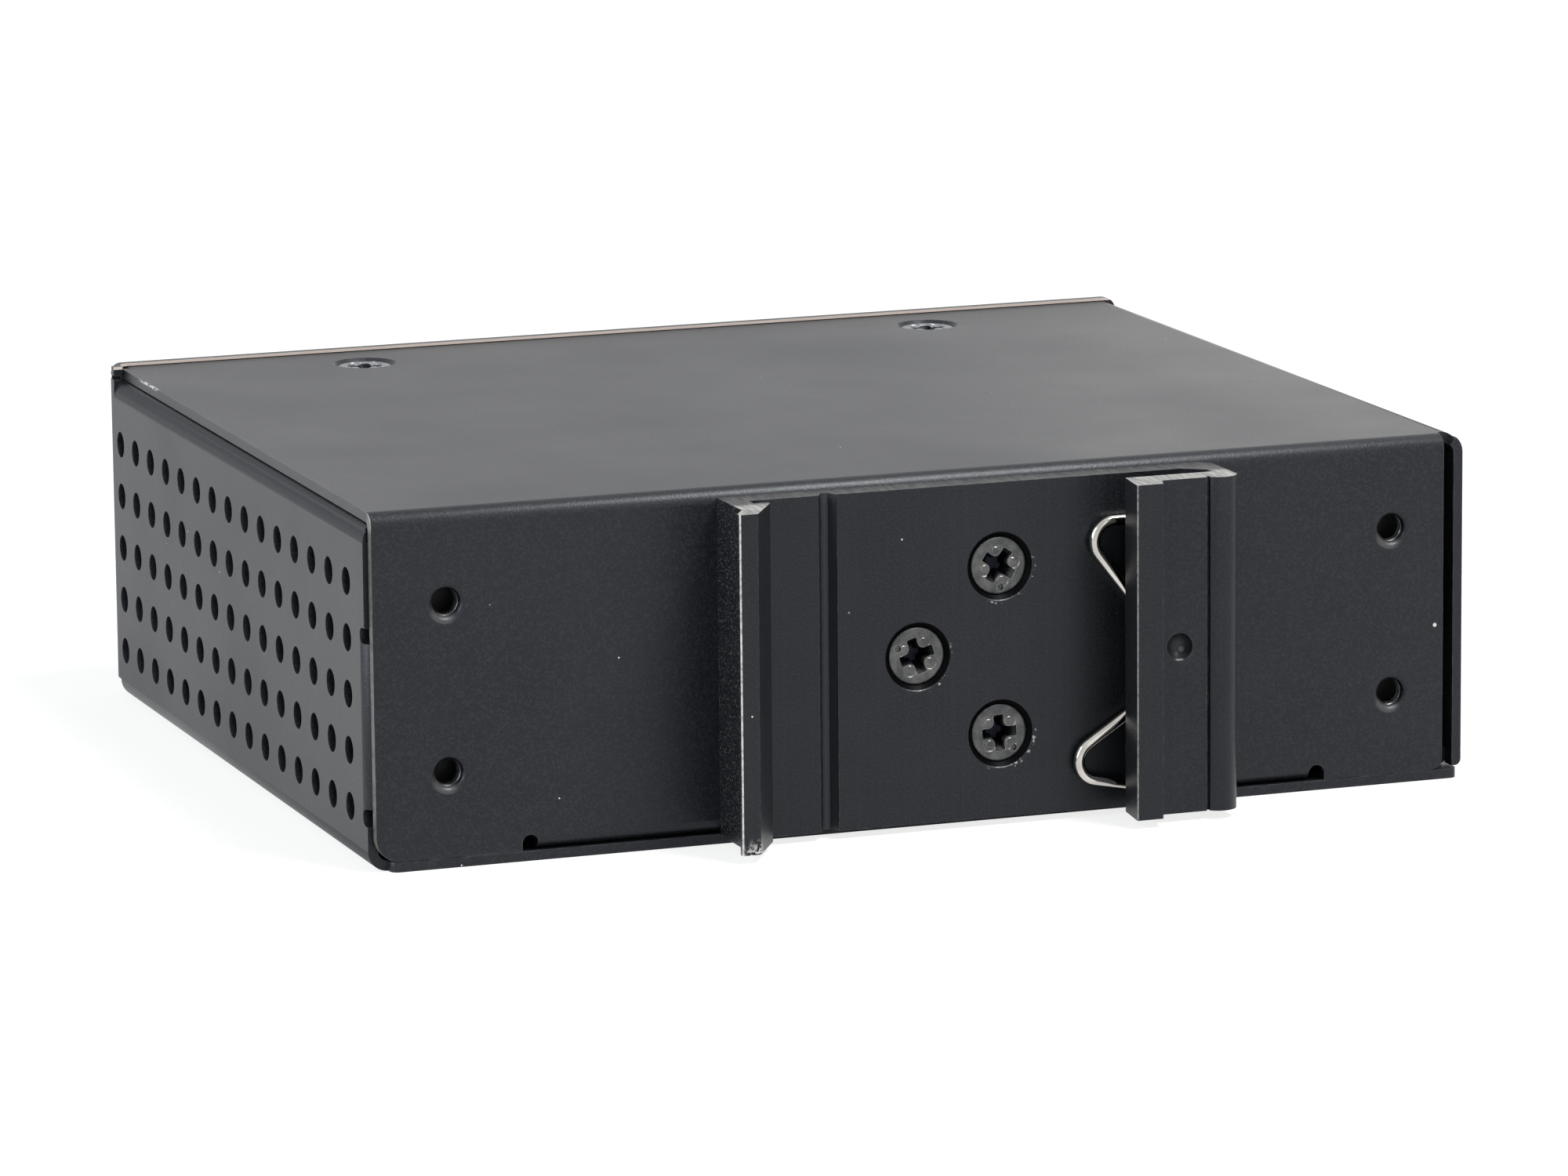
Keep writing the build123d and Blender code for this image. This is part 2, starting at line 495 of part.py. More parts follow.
# Rail clip
def make_clip():
    p = -CLIP_PLATE
    slot_top = p - HOOK_SLOT
    run = Polyline(
        (HOOK_WALL_X, 0), (HOOK_WALL_X, -(HOOK_H - 2.2)), (HOOK_WALL_X - HOOK_FLARE, -(HOOK_H - 0.6)),
        (HOOK_WALL_X - HOOK_FLARE, -HOOK_H), (HOOK_WALL_X + 0.7, -HOOK_H),
        (HOOK_TIP_X, slot_top - 0.5), (HOOK_TIP_X, slot_top), (HOOK_SEAT_X, slot_top),
        (HOOK_SEAT_X, p), (GROOVE_X - 0.9, p), (GROOVE_X - 0.3, p + GROOVE_D),
        (GROOVE_X + 0.35, p + GROOVE_D), (GROOVE_X + 0.8, p),
        (CHANNEL_INNER_X - 2.0, p), (CHANNEL_INNER_X, p - 1.4),
        (CHANNEL_INNER_X, -CHANNEL_ROOF), (CHANNEL_LIP_X, -CHANNEL_ROOF),
        (CHANNEL_LIP_X - 0.5, -CHANNEL_LEDGE), (CHANNEL_LIP_X - 0.5 + CHANNEL_LEDGE_W,
                                                -CHANNEL_LEDGE),
        (CHANNEL_LIP_X + CHANNEL_LEDGE_W, -CHANNEL_FACE), (BULGE_X - 0.15, -CHANNEL_FACE),
        (BULGE_X - 0.15, -CHANNEL_FACE + 0.4), (BULGE_X + 0.15, -CHANNEL_FACE + 0.4),
        (BULGE_X + 0.15, -CHANNEL_FACE))
    bulge = ThreePointArc((BULGE_X + 0.15, -CHANNEL_FACE), (BULGE_X + 1.5, -CHANNEL_FACE - 0.5),
                          (CHANNEL_RIGHT_X, -CHANNEL_FACE + 0.7))
    back = Polyline((CHANNEL_RIGHT_X, -CHANNEL_FACE + 0.7), (CHANNEL_RIGHT_X, -1.0),
                    (CHANNEL_RIGHT_X - 1.0, 0), (HOOK_WALL_X, 0))
    body = along_z(make_face(run + bulge + back), CLIP_Z0, CLIP_Z0 + CLIP_LEN)

    cone_depth = (CLIP_CSK_D - M3_CLEAR_D) / 2
    for x, z in CLIP_HOLES:
        body -= rod_y(x, z, M3_CLEAR_D, -CLIP_PLATE - 1, 1)
        outline = make_face(Polyline(
            (0, -CLIP_PLATE - 0.1), (CLIP_CSK_D / 2 + 0.1, -CLIP_PLATE - 0.1),
            (M3_CLEAR_D / 2, -CLIP_PLATE + cone_depth), (0, -CLIP_PLATE + cone_depth),
            close=True))
        body -= Pos(x, 0, z) * revolve(outline, Axis.Y)

    # the front wall of the channel is punched in until it holds the wire
    wire_face = WIRE_Y - WIRE_D / 2
    boss = make_face(Polyline((0, -CHANNEL_ROOF - 0.1), (STAKE_D / 2 + 0.2, -CHANNEL_ROOF - 0.1),
                              (STAKE_D / 2 - 0.3, wire_face), (0, wire_face), close=True))
    body += Pos(STAKE_X, 0, CLIP_MID_Z) * revolve(boss, Axis.Y)
    body -= Pos(STAKE_X, -CHANNEL_FACE, CLIP_MID_Z) * Sphere(STAKE_D / 2)
    return body


def make_spring():
    """One bent wire: two loops that reach out of the channel and push on the rail."""
    top = CLIP_Z0 + CLIP_LEN - 4.1
    low = CLIP_Z0 + 1.3
    end_x = CHANNEL_INNER_X - 2.8
    path = FilletPolyline(
        (end_x, top), (CHANNEL_LIP_X - 4.2, top), (CHANNEL_LIP_X + 4.5, CLIP_MID_Z),
        (CHANNEL_LIP_X + 4.5, CLIP_MID_Z - 4.3), (CHANNEL_LIP_X - 6.8, low + 2.35),
        (end_x, low), radius=WIRE_BEND)
    path = Plane.XZ.offset(-WIRE_Y) * path
    tip = Plane(origin=(end_x, WIRE_Y, top), z_dir=(-1, 0, 0))
    return sweep(tip * Circle(WIRE_D / 2), path=path)


def make_clip_screws():
    face_y = -CLIP_PLATE + CLIP_SCREW_SUNK
    return one([Pos(x, face_y, z) * Rot(90, 0, 0) * Rot(0, 0, turn) * flat_screw(CLIP_SCREW_L)
                for (x, z), turn in zip(CLIP_HOLES, (40, 8, 25))])


def make_cover_screws():
    sunk = (M3_COUNTERSINK_D - M3_HEAD_D) / 2 - M3_HEAD_RIM
    return one([Pos(x, y, CASE_H - sunk) * Rot(0, 0, turn) * flat_screw(COVER_SCREW_L)
                for (x, y), turn in zip(COVER_HOLES, (20, 65))])


# Board and its fixings
def standoff_places():
    x = STANDOFF_X
    return [(-x, STANDOFF_REAR_Y), (x, STANDOFF_REAR_Y), (-x, STANDOFF_LEFT_Y),
            (x, STANDOFF_RIGHT_Y)]


def make_standoff(x, y):
    """Round spacer pressed into the bottom sheet with a six-sided head, blind tapped."""
    body = rod_z(0, 0, STANDOFF_D, SHEET, BOARD_Z)
    body += along_z(RegularPolygon(STANDOFF_D / 2 - 0.3, 6), 0, SHEET)
    body -= rod_z(0, 0, M3_CORE_D, BOARD_Z - 5, BOARD_Z + 0.1)
    return Pos(x, y, 0) * body


def make_board():
    mid_y = (BOARD_Y0 + BOARD_Y1) / 2
    outline = Pos(0, mid_y) * Rectangle(BOARD_W, BOARD_Y1 - BOARD_Y0)
    outline = fillet(outline.vertices(), 1.5)
    for x, y in standoff_places():
        outline -= Pos(x, y) * Circle(M3_CLEAR_D / 2)
    return along_z(outline, BOARD_Z, BOARD_TOP)


def make_film():
    """Sheet over the bottom, holed round the spacers and folded up behind the rear panel."""
    half = BOARD_W / 2 - 0.5
    end_y, top_z = BOARD_Y1 - 1, CASE_H - SHEET - FILM_TOP_GAP
    section = bent_sheet(
        [(FILM_Y, top_z), (FILM_Y, FILM_Z), (end_y, FILM_Z)],
        [(FILM_Y + FILM_T, top_z), (FILM_Y + FILM_T, FILM_Z + FILM_T), (end_y, FILM_Z + FILM_T)],
        FILM_BEND, FILM_T)
    body = along_x(section, -half, half)
    for x, y in standoff_places():
        body -= rod_z(x, y, STANDOFF_D + 2.4, FILM_Z - 1, FILM_Z + 1)
    return body


def make_board_screws():
    return one([Pos(x, y, BOARD_TOP) * pan_screw(5.2, 2.0, M3_CORE_D, 5.0)
                for x, y in standoff_places()])


# Copper port
def jack_box():
    return (JACK_X - JACK_W / 2, JACK_X + JACK_W / 2, JACK_BACK, PORT_Y,
            BOARD_TOP, BOARD_TOP + JACK_H)


def jack_mouth():
    x0, x1, y0, y1, z0, z1 = jack_box()
    low = z0 + JACK_FLOOR
    return (x0 + JACK_CHEEK, x1 - JACK_CHEEK, y1 - JACK_MOUTH_D, y1, low, low + JACK_MOUTH_H)


def make_jack_shield():
    """Folded tin-plated shell, open below and round the mouth, with side springs."""
    x0, x1, y0, y1, z0, z1 = jack_box()
    mx0, mx1, my0, my1, mz0, mz1 = jack_mouth()
    t = SHIELD_T
    body = block(x0, x1, y0, y1, z0, z1) - block(x0 + t, x1 - t, y0 + t, y1 - t, z0 - 1, z1 - t)
    body -= block(mx0 - 0.4, mx1 + 0.4, y1 - 1, y1 + 1, mz0 - 0.4, mz1 + 0.4)
    key = mx0 + 2.6
    body -= block(key, mx1 - 2.6, y1 - 1, y1 + 1, mz1, mz1 + 1.9)
    for x in (x0, x1):
        body -= block(x - 1, x + 1, y1 - 9, y1 - 2.5, z0 + 8.0, z0 + 8.35)
        body -= block(x - 1, x + 1, y1 - 9, y1 - 2.5, z0 + 4.6, z0 + 4.95)
    return body


def make_jack_insert():
    """Plastic insert with the stepped mouth and the comb that holds the contacts."""
    x0, x1, y0, y1, z0, z1 = jack_box()
    mx0, mx1, my0, my1, mz0, mz1 = jack_mouth()
    t = SHIELD_T + 0.02
    body = block(x0 + t, x1 - t, y0 + t, y1 - t, z0, z1 - t)
    body -= block(mx0, mx1, my0, my1 + 1, mz0, mz1)
    body -= block(mx0 + 2.6, mx1 - 2.6, my0 + 2, my1 + 1, mz1 - 0.5, mz1 + 1.6)
    body -= one_of(jack_contact_slots(0.03))
    return body


def one_of(parts):
    """Fuse a list of cutters into one."""
    total = parts[0]
    for item in parts[1:]:
        total += item
    return total


def jack_contact_slots(grow):
    """Eight thin bent wires on the floor of the mouth, as solids grown by a clearance."""
    mx0, mx1, my0, my1, mz0, mz1 = jack_mouth()
    pitch = 1.02
    thick = 0.35
    wires = []
    w = thick + 2 * grow
    for i in range(8):
        x = JACK_X + (i - 3.5) * pitch
        side = make_face(Polyline((my0 + 1.0, mz0 - 0.9), (my1 - 3.2, mz0 - 0.9),
                                  (my0 + 3.4, mz0 + 2.0), (my0 + 2.95, mz0 + 1.8),
                                  (my1 - 4.6, mz0 - 0.55), (my0 + 1.0, mz0 - 0.55), close=True))
        if grow:
            side = offset(side, grow)
        wires.append(along_x(side, x - w / 2, x + w / 2))
    return wires


# Fibre port
def fibre_box():
    return (FIBRE_X - FIBRE_W / 2, FIBRE_X + FIBRE_W / 2, FIBRE_BACK, PORT_Y,
            BOARD_TOP, BOARD_TOP + FIBRE_H)


def make_fibre_port():
    """Duplex transceiver: one block with two keyed sockets."""
    x0, x1, y0, y1, z0, z1 = fibre_box()
    body = block(x0, x1, y0, y1, z0 + 0.8, z1)
    body += block(x0, x1, y1 - 12, y1, z0, z1)
    for s in (-1, 1):
        x = FIBRE_X + s * FIBRE_PITCH / 2
        body -= block(x - FIBRE_MOUTH_W / 2, x + FIBRE_MOUTH_W / 2, y1 - FIBRE_MOUTH_D, y1 + 1,
                      z0 + FIBRE_WALL, z1 - FIBRE_WALL)
        body -= block(x - 1.3, x + 1.3, y1 - 9, y1 + 1, FIBRE_MID_Z, z1 + 1)
    return body


def make_fibre_sleeves():
    x0, x1, y0, y1, z0, z1 = fibre_box()
    back = y1 - FIBRE_MOUTH_D
    parts = []
    for s in (-1, 1):
        x = FIBRE_X + s * FIBRE_PITCH / 2
        tube = rod_y(x, FIBRE_MID_Z, SLEEVE_D, back, back + SLEEVE_L)
        tube -= rod_y(x, FIBRE_MID_Z, SLEEVE_BORE, back + 1.5, back + SLEEVE_L + 1)
        parts.append(tube)
    return one(parts)


def make_fibre_pins():
    x0, x1, y0, y1, z0, z1 = fibre_box()
    pins = [rod_z(FIBRE_X + (i - 4) * 2.54, y0 + 2.5, 0.5, BOARD_TOP, z0 + 0.8) for i in range(9)]
    return one(pins)


# Power inlet
def inlet_poles():
    first = INLET_X - (INLET_POLES - 1) / 2 * INLET_PITCH
    return [first + i * INLET_PITCH for i in range(INLET_POLES)]


def make_inlet():
    """Open shroud of the pluggable power connector, with a keyway over each pole."""
    y1 = PORT_Y
    z0, z1 = BOARD_TOP, BOARD_TOP + INLET_H
    x0, x1 = INLET_X - INLET_W / 2, INLET_X + INLET_W / 2
    half = INLET_PIN_W / 2
    body = block(x0, x1, y1 - INLET_D, y1, z0, z1)
    body -= block(x0 + INLET_WALL, x1 - INLET_WALL, y1 - INLET_D + 3, y1 + 1,
                  z0 + INLET_WALL, z1 - INLET_WALL)
    for x in inlet_poles():
        body -= block(x - 1.2, x + 1.2, y1 - 5, y1 + 1, z1 - INLET_WALL - 0.1, z1 + 1)
        body -= block(x - half, x + half, y1 - INLET_D - 1, y1 - INLET_D + 4,
                      z0 + INLET_H / 2 - half, z0 + INLET_H / 2 + half)
    return body


def make_inlet_pins():
    """Square pins, bent down at the back and standing on the board."""
    mid_z = BOARD_TOP + INLET_H / 2
    half = INLET_PIN_W / 2
    pins = []
    for x in inlet_poles():
        pin = block(x - half, x + half, INLET_BACK, PORT_Y - 2.0, mid_z - half, mid_z + half)
        pin += block(x - half, x + half, INLET_BACK, INLET_BACK + INLET_PIN_W,
                     BOARD_TOP, mid_z + half)
        pins.append(pin)
    return one(pins)


# Lamps
def lamp_places():
    first_x = LAMP_X - (LAMP_COLUMNS - 1) / 2 * LAMP_PITCH
    first_z = BOARD_TOP + LAMP_PITCH / 2
    return [(first_x + i * LAMP_PITCH, first_z + j * LAMP_PITCH)
            for i in range(LAMP_COLUMNS) for j in range(LAMP_ROWS)]


def make_lamp_holder():
    y1 = LAMP_BLOCK_Y
    body = block(LAMP_X - LAMP_BLOCK_W / 2, LAMP_X + LAMP_BLOCK_W / 2, y1 - LAMP_BLOCK_D, y1,
                 BOARD_TOP, BOARD_TOP + LAMP_ROWS * LAMP_PITCH)
    for x, z in lamp_places():
        body -= rod_y(x, z, LAMP_D, y1 - LAMP_BLOCK_D + 1.5, y1 + 1)
    return body


def make_lamps():
    """Domed lamps whose tips reach through the front panel."""
    foot = LAMP_BLOCK_Y - LAMP_BLOCK_D + 1.5
    r = LAMP_D / 2
    outline = make_face(
        Polyline((0, foot), (r, foot), (r, PORT_Y - r))
        + ThreePointArc((r, PORT_Y - r), (r * math.sqrt(0.5), PORT_Y - r * (1 - math.sqrt(0.5))),
                        (0, PORT_Y))
        + Line((0, PORT_Y), (0, foot)))
    lamp = revolve(outline, Axis.Y)
    return one([Pos(x, 0, z) * lamp for x, z in lamp_places()])


# Earth point
def make_earth_screw():
    turned = Rot(-90, 0, 0) * pan_screw(EARTH_HEAD_D, EARTH_HEAD_H, EARTH_CORE_D, EARTH_SCREW_L)
    return Pos(EARTH_X, CASE_D + WASHER_T, EARTH_Z) * turned


def make_earth_washer():
    """Toothed washer under the earth screw's head."""
    r = EARTH_NUT_D / 2
    ring = Circle(r) - Circle(EARTH_CLEAR_D / 2)
    for i in range(12):
        ring -= Rot(0, 0, i * 30) * Pos(r, 0) * Rectangle(1.4, 0.7)
    return Pos(EARTH_X, 0, EARTH_Z) * along_y(ring, CASE_D, CASE_D + WASHER_T)


def make_earth_nut():
    """Clinch nut behind the front panel."""
    y = CASE_D - SHEET
    return (rod_y(EARTH_X, EARTH_Z, EARTH_NUT_D, y - EARTH_NUT_H, y)
            - rod_y(EARTH_X, EARTH_Z, EARTH_CORE_D, y - EARTH_NUT_H - 1, y + 1))


# Parts on the board
def make_chip(x, y, size):
    body = Pos(x, y, BOARD_TOP + 0.15 + CHIP_H / 2) * Box(size, size, CHIP_H)
    return chamfer(body.edges().group_by(Axis.Z)[-1], 0.2)


def make_chip_legs(x, y, size, count):
    """Gull-wing legs along the four sides of a chip."""
    pitch = (size - 2) / (count - 1)
    face = size / 2
    end = face + CHIP_LEG
    leg = make_face(Polyline((face, 0.9), (face + 0.35, 0.9), (face + 0.55, 0.15), (end, 0.15),
                             (end, 0), (face + 0.42, 0), (face + 0.25, 0.75), (face, 0.75),
                             close=True))
    leg = along_y(leg, -0.12, 0.12)
    return one([Pos(x, y, BOARD_TOP) * Rot(0, 0, 90 * k) * Pos(0, (i - (count - 1) / 2) * pitch, 0)
                * leg for k in range(4) for i in range(count)])


def make_transformer():
    body = Pos(JACK_X, TRAFO_Y, BOARD_TOP + 0.3 + TRAFO_H / 2) * Box(TRAFO_W, TRAFO_L, TRAFO_H)
    return chamfer(body.edges().group_by(Axis.Z)[-1], 0.4)


def make_transformer_legs():
    z, face = BOARD_TOP, TRAFO_L / 2
    legs = []
    for i in range(8):
        x = JACK_X + (i - 3.5) * TRAFO_W / 8.5
        for side in (-1, 1):
            near, bend, far = (TRAFO_Y + side * (face + d) for d in (0, 0.3, TRAFO_LEG))
            leg = block(x - 0.25, x + 0.25, min(near, far), max(near, far), z, z + 0.3)
            leg += block(x - 0.25, x + 0.25, min(near, bend), max(near, bend), z, z + 2.0)
            legs.append(leg)
    return one(legs)


def make_crystal():
    place = Pos(CRYSTAL_X, CRYSTAL_Y, 0)
    rim = 2 * CRYSTAL_RIM
    can = along_z(SlotOverall(CRYSTAL_L, CRYSTAL_W), BOARD_TOP + 0.4, BOARD_TOP + CRYSTAL_H)
    foot = along_z(SlotOverall(CRYSTAL_L + rim, CRYSTAL_W + rim), BOARD_TOP, BOARD_TOP + 0.4)
    return place * (can + foot)


def make_capacitor(x, y, diameter, height):
    """Aluminium can with the rolled groove near its foot and a scored top."""
    r = diameter / 2
    z = BOARD_TOP
    outline = Polyline((0, z), (r, z), (r, z + 1.2), (r - 0.45, z + 1.7), (r, z + 2.2),
                       (r, z + height - 0.4), (r - 0.4, z + height), (0, z + height), close=True)
    body = revolve(Plane.XZ * make_face(outline), Axis.Z)
    body -= Pos(0, 0, z + height) * Box(diameter * 0.7, 0.3, 0.4)
    body -= Pos(0, 0, z + height) * Box(0.3, diameter * 0.7, 0.4)
    return Pos(x, y, 0) * body


def make_coil_core(x, y):
    """Drum core with a cheek at each end."""
    z = BOARD_TOP
    return Pos(x, y, 0) * (rod_z(0, 0, COIL_D, z, z + COIL_CHEEK)
                           + rod_z(0, 0, COIL_D - 2 * COIL_NECK, z, z + COIL_H)
                           + rod_z(0, 0, COIL_D, z + COIL_H - COIL_CHEEK, z + COIL_H))


def make_coil_winding(x, y):
    """Winding between the core's cheeks, fuller in the middle."""
    r, neck = COIL_D / 2 - 0.4, COIL_D / 2 - COIL_NECK
    z0, z1 = BOARD_TOP + COIL_CHEEK, BOARD_TOP + COIL_H - COIL_CHEEK
    outline = Polyline((neck, z0), (r - 0.4, z0), (r, z0 + 0.8), (r, z1 - 0.8), (r - 0.4, z1),
                       (neck, z1), close=True)
    return Pos(x, y, 0) * revolve(Plane.XZ * make_face(outline), Axis.Z)


def make_power_module():
    """Sealed isolating converter standing on a row of pins."""
    body = Pos(MODULE_X, MODULE_Y, BOARD_TOP + MODULE_LIFT + MODULE_H / 2) * Box(
        MODULE_L, MODULE_W, MODULE_H)
    return fillet(body.edges().filter_by(Axis.Z), 0.8)


def make_module_pins():
    first = MODULE_X - 3.5 * 2.54
    return one([rod_z(first + i * 2.54, MODULE_Y, 0.6, BOARD_TOP, BOARD_TOP + MODULE_LIFT)
                for i in (0, 1, 5, 6, 7)])


def make_surge_disc():
    """Upright disc on two leads."""
    disc = Pos(SURGE_X, 0, BOARD_TOP + 2.0 + SURGE_D / 2) * along_y(
        Circle(SURGE_D / 2), SURGE_Y - SURGE_T / 2, SURGE_Y + SURGE_T / 2)
    return chamfer(disc.edges(), 0.8)


def make_surge_leads():
    return one([rod_z(SURGE_X + s * 2.5, SURGE_Y, 0.7, BOARD_TOP, BOARD_TOP + 2.5)
                for s in (-1, 1)])


def make_fuse():
    return block(FUSE_X - FUSE_L / 2, FUSE_X + FUSE_L / 2, FUSE_Y - FUSE_W / 2,
                 FUSE_Y + FUSE_W / 2, BOARD_TOP + 0.1, BOARD_TOP + 0.1 + FUSE_H)


def make_fuse_caps():
    caps = []
    for s in (-1, 1):
        a, b = sorted((FUSE_X + s * FUSE_L / 2, FUSE_X + s * (FUSE_L / 2 + FUSE_CAP_L)))
        caps.append(block(a, b, FUSE_Y - FUSE_W / 2 - 0.1, FUSE_Y + FUSE_W / 2 + 0.1,
                          BOARD_TOP, BOARD_TOP + FUSE_H + 0.2))
    return one(caps)


def make_small_parts():
    """Small ceramic capacitors and resistors before the second chip and behind the main one."""
    before = SECOND_CHIP_Y + SECOND_CHIP / 2 + CHIP_LEG + 2.5
    behind = MAIN_CHIP_Y - MAIN_CHIP / 2 - CHIP_LEG - 1.6
    spots = [(LAMP_X + (i - 1) * 3.2, before + j * 2.2) for i in range(3) for j in range(3)]
    spots += [(JACK_X + (i - 1.5) * 3.6, behind) for i in range(4)]
    return one([Pos(x, y, BOARD_TOP + 0.35) * Box(2.0, 1.25, 0.7) for x, y in spots])


NODES = {
    "chassis": make_chassis,
    "cover": make_cover,
    "front_bracket": make_bracket,
    "cover_screws": make_cover_screws,
    "rail_clip": make_clip,
    "clip_spring": make_spring,
    "clip_screws": make_clip_screws,
    "standoffs": lambda: one([make_standoff(x, y) for x, y in standoff_places()]),
    "insulating_film": make_film,
    "circuit_board": make_board,
    "board_screws": make_board_screws,
    "copper_port_shield": make_jack_shield,
    "copper_port_insert": make_jack_insert,
    "copper_port_contacts": lambda: one(jack_contact_slots(0.0)),
    "fibre_port": make_fibre_port,
    "fibre_sleeves": make_fibre_sleeves,
    "fibre_pins": make_fibre_pins,
    "power_inlet": make_inlet,
    "power_pins": make_inlet_pins,
    "lamp_holder": make_lamp_holder,
    "lamps": make_lamps,
    "earth_screw": make_earth_screw,
    "earth_washer": make_earth_washer,
    "earth_nut": make_earth_nut,
    "main_chip": lambda: make_chip(JACK_X, MAIN_CHIP_Y, MAIN_CHIP),
    "main_chip_legs": lambda: make_chip_legs(JACK_X, MAIN_CHIP_Y, MAIN_CHIP, 16),
    "second_chip": lambda: make_chip(LAMP_X, SECOND_CHIP_Y, SECOND_CHIP),
    "second_chip_legs": lambda: make_chip_legs(LAMP_X, SECOND_CHIP_Y, SECOND_CHIP, 12),
    "line_transformer": make_transformer,
    "line_transformer_legs": make_transformer_legs,
    "clock_crystal": make_crystal,
    "capacitors": lambda: one([make_capacitor(*c) for c in CANS]),
    "coil_cores": lambda: one([make_coil_core(*c) for c in COILS]),
    "coil_windings": lambda: one([make_coil_winding(*c) for c in COILS]),
    "power_module": make_power_module,
    "power_module_pins": make_module_pins,
    "surge_disc": make_surge_disc,
    "surge_disc_leads": make_surge_leads,
    "fuse": make_fuse,
    "fuse_caps": make_fuse_caps,
    "small_parts": make_small_parts,
}

for node, make in NODES.items():
    save(make(), node)
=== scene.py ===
import json
import math

import bmesh
import bpy
from mathutils import Matrix, Vector


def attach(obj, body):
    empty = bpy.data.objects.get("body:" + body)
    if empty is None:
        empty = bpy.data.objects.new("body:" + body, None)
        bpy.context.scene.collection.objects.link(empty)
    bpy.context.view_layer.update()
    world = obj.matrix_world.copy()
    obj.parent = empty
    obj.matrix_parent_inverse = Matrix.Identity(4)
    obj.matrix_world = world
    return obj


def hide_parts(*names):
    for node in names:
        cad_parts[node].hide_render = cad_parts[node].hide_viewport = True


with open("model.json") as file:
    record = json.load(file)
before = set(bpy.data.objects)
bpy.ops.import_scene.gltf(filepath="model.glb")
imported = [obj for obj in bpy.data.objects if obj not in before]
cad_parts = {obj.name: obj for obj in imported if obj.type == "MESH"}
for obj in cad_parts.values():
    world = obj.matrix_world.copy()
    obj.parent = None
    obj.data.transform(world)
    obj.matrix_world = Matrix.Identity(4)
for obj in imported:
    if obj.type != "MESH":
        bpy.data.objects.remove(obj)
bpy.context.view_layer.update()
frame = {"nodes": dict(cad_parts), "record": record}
NODES = frame["nodes"]
MM = 0.001

# Sizes that this file shares with the solids, in millimetres in the row frame
REAR_Y = -39.5
CASE_TOP = 32.0
CASE_HALF_W = 52.25
CASE_DEEP = 84.5
BEND_OUT = 1.8                # outside radius of the case's side bends
PLATE_Y = REAR_Y - 2.5
OPEN_HOLES = [(x, z) for x in (-45.0, 45.0) for z in (8.5, 23.7)]
CLIP_HOLES = [(5.8, 23.6), (-2.05, 16.0), (5.8, 8.4)]
COVER_HOLES = [(-28.7, 37.1), (29.3, 37.1)]
HEAD_R = 2.6
HEAD_SUNK_CLIP = 0.35
HEAD_SUNK_COVER = 0.25

# Marks that the photograph shows, as places in the row frame
BEND_END_AT = (-51.8, -39.1, 0)
RUBBED_CORNER_AT = (-51.6, -39.0, 31.3)
SCRATCH_AT = (-51.36, 0, 32.0)
SMUDGE_AT = (15.8, -27.4, 32)
DUST_SPECK_AT = (49.34, -39.5, 14.44)
STAKE_AT = (21.3, -46.2, 15.7)
STAKE_GLINT_AT = (21.75, -45.6, 15.45)
HOOK_EDGE_AT = (-20.95, -48.2, 0)
HOOK_FOOT_AT = (-19.6, -48.2, 0.5)
CHANNEL_EDGE_AT = (16.37, -48.4, 0)


# Node tree helpers
NOISE_ROUGH = 0.55
RIM_SAMPLES = 6


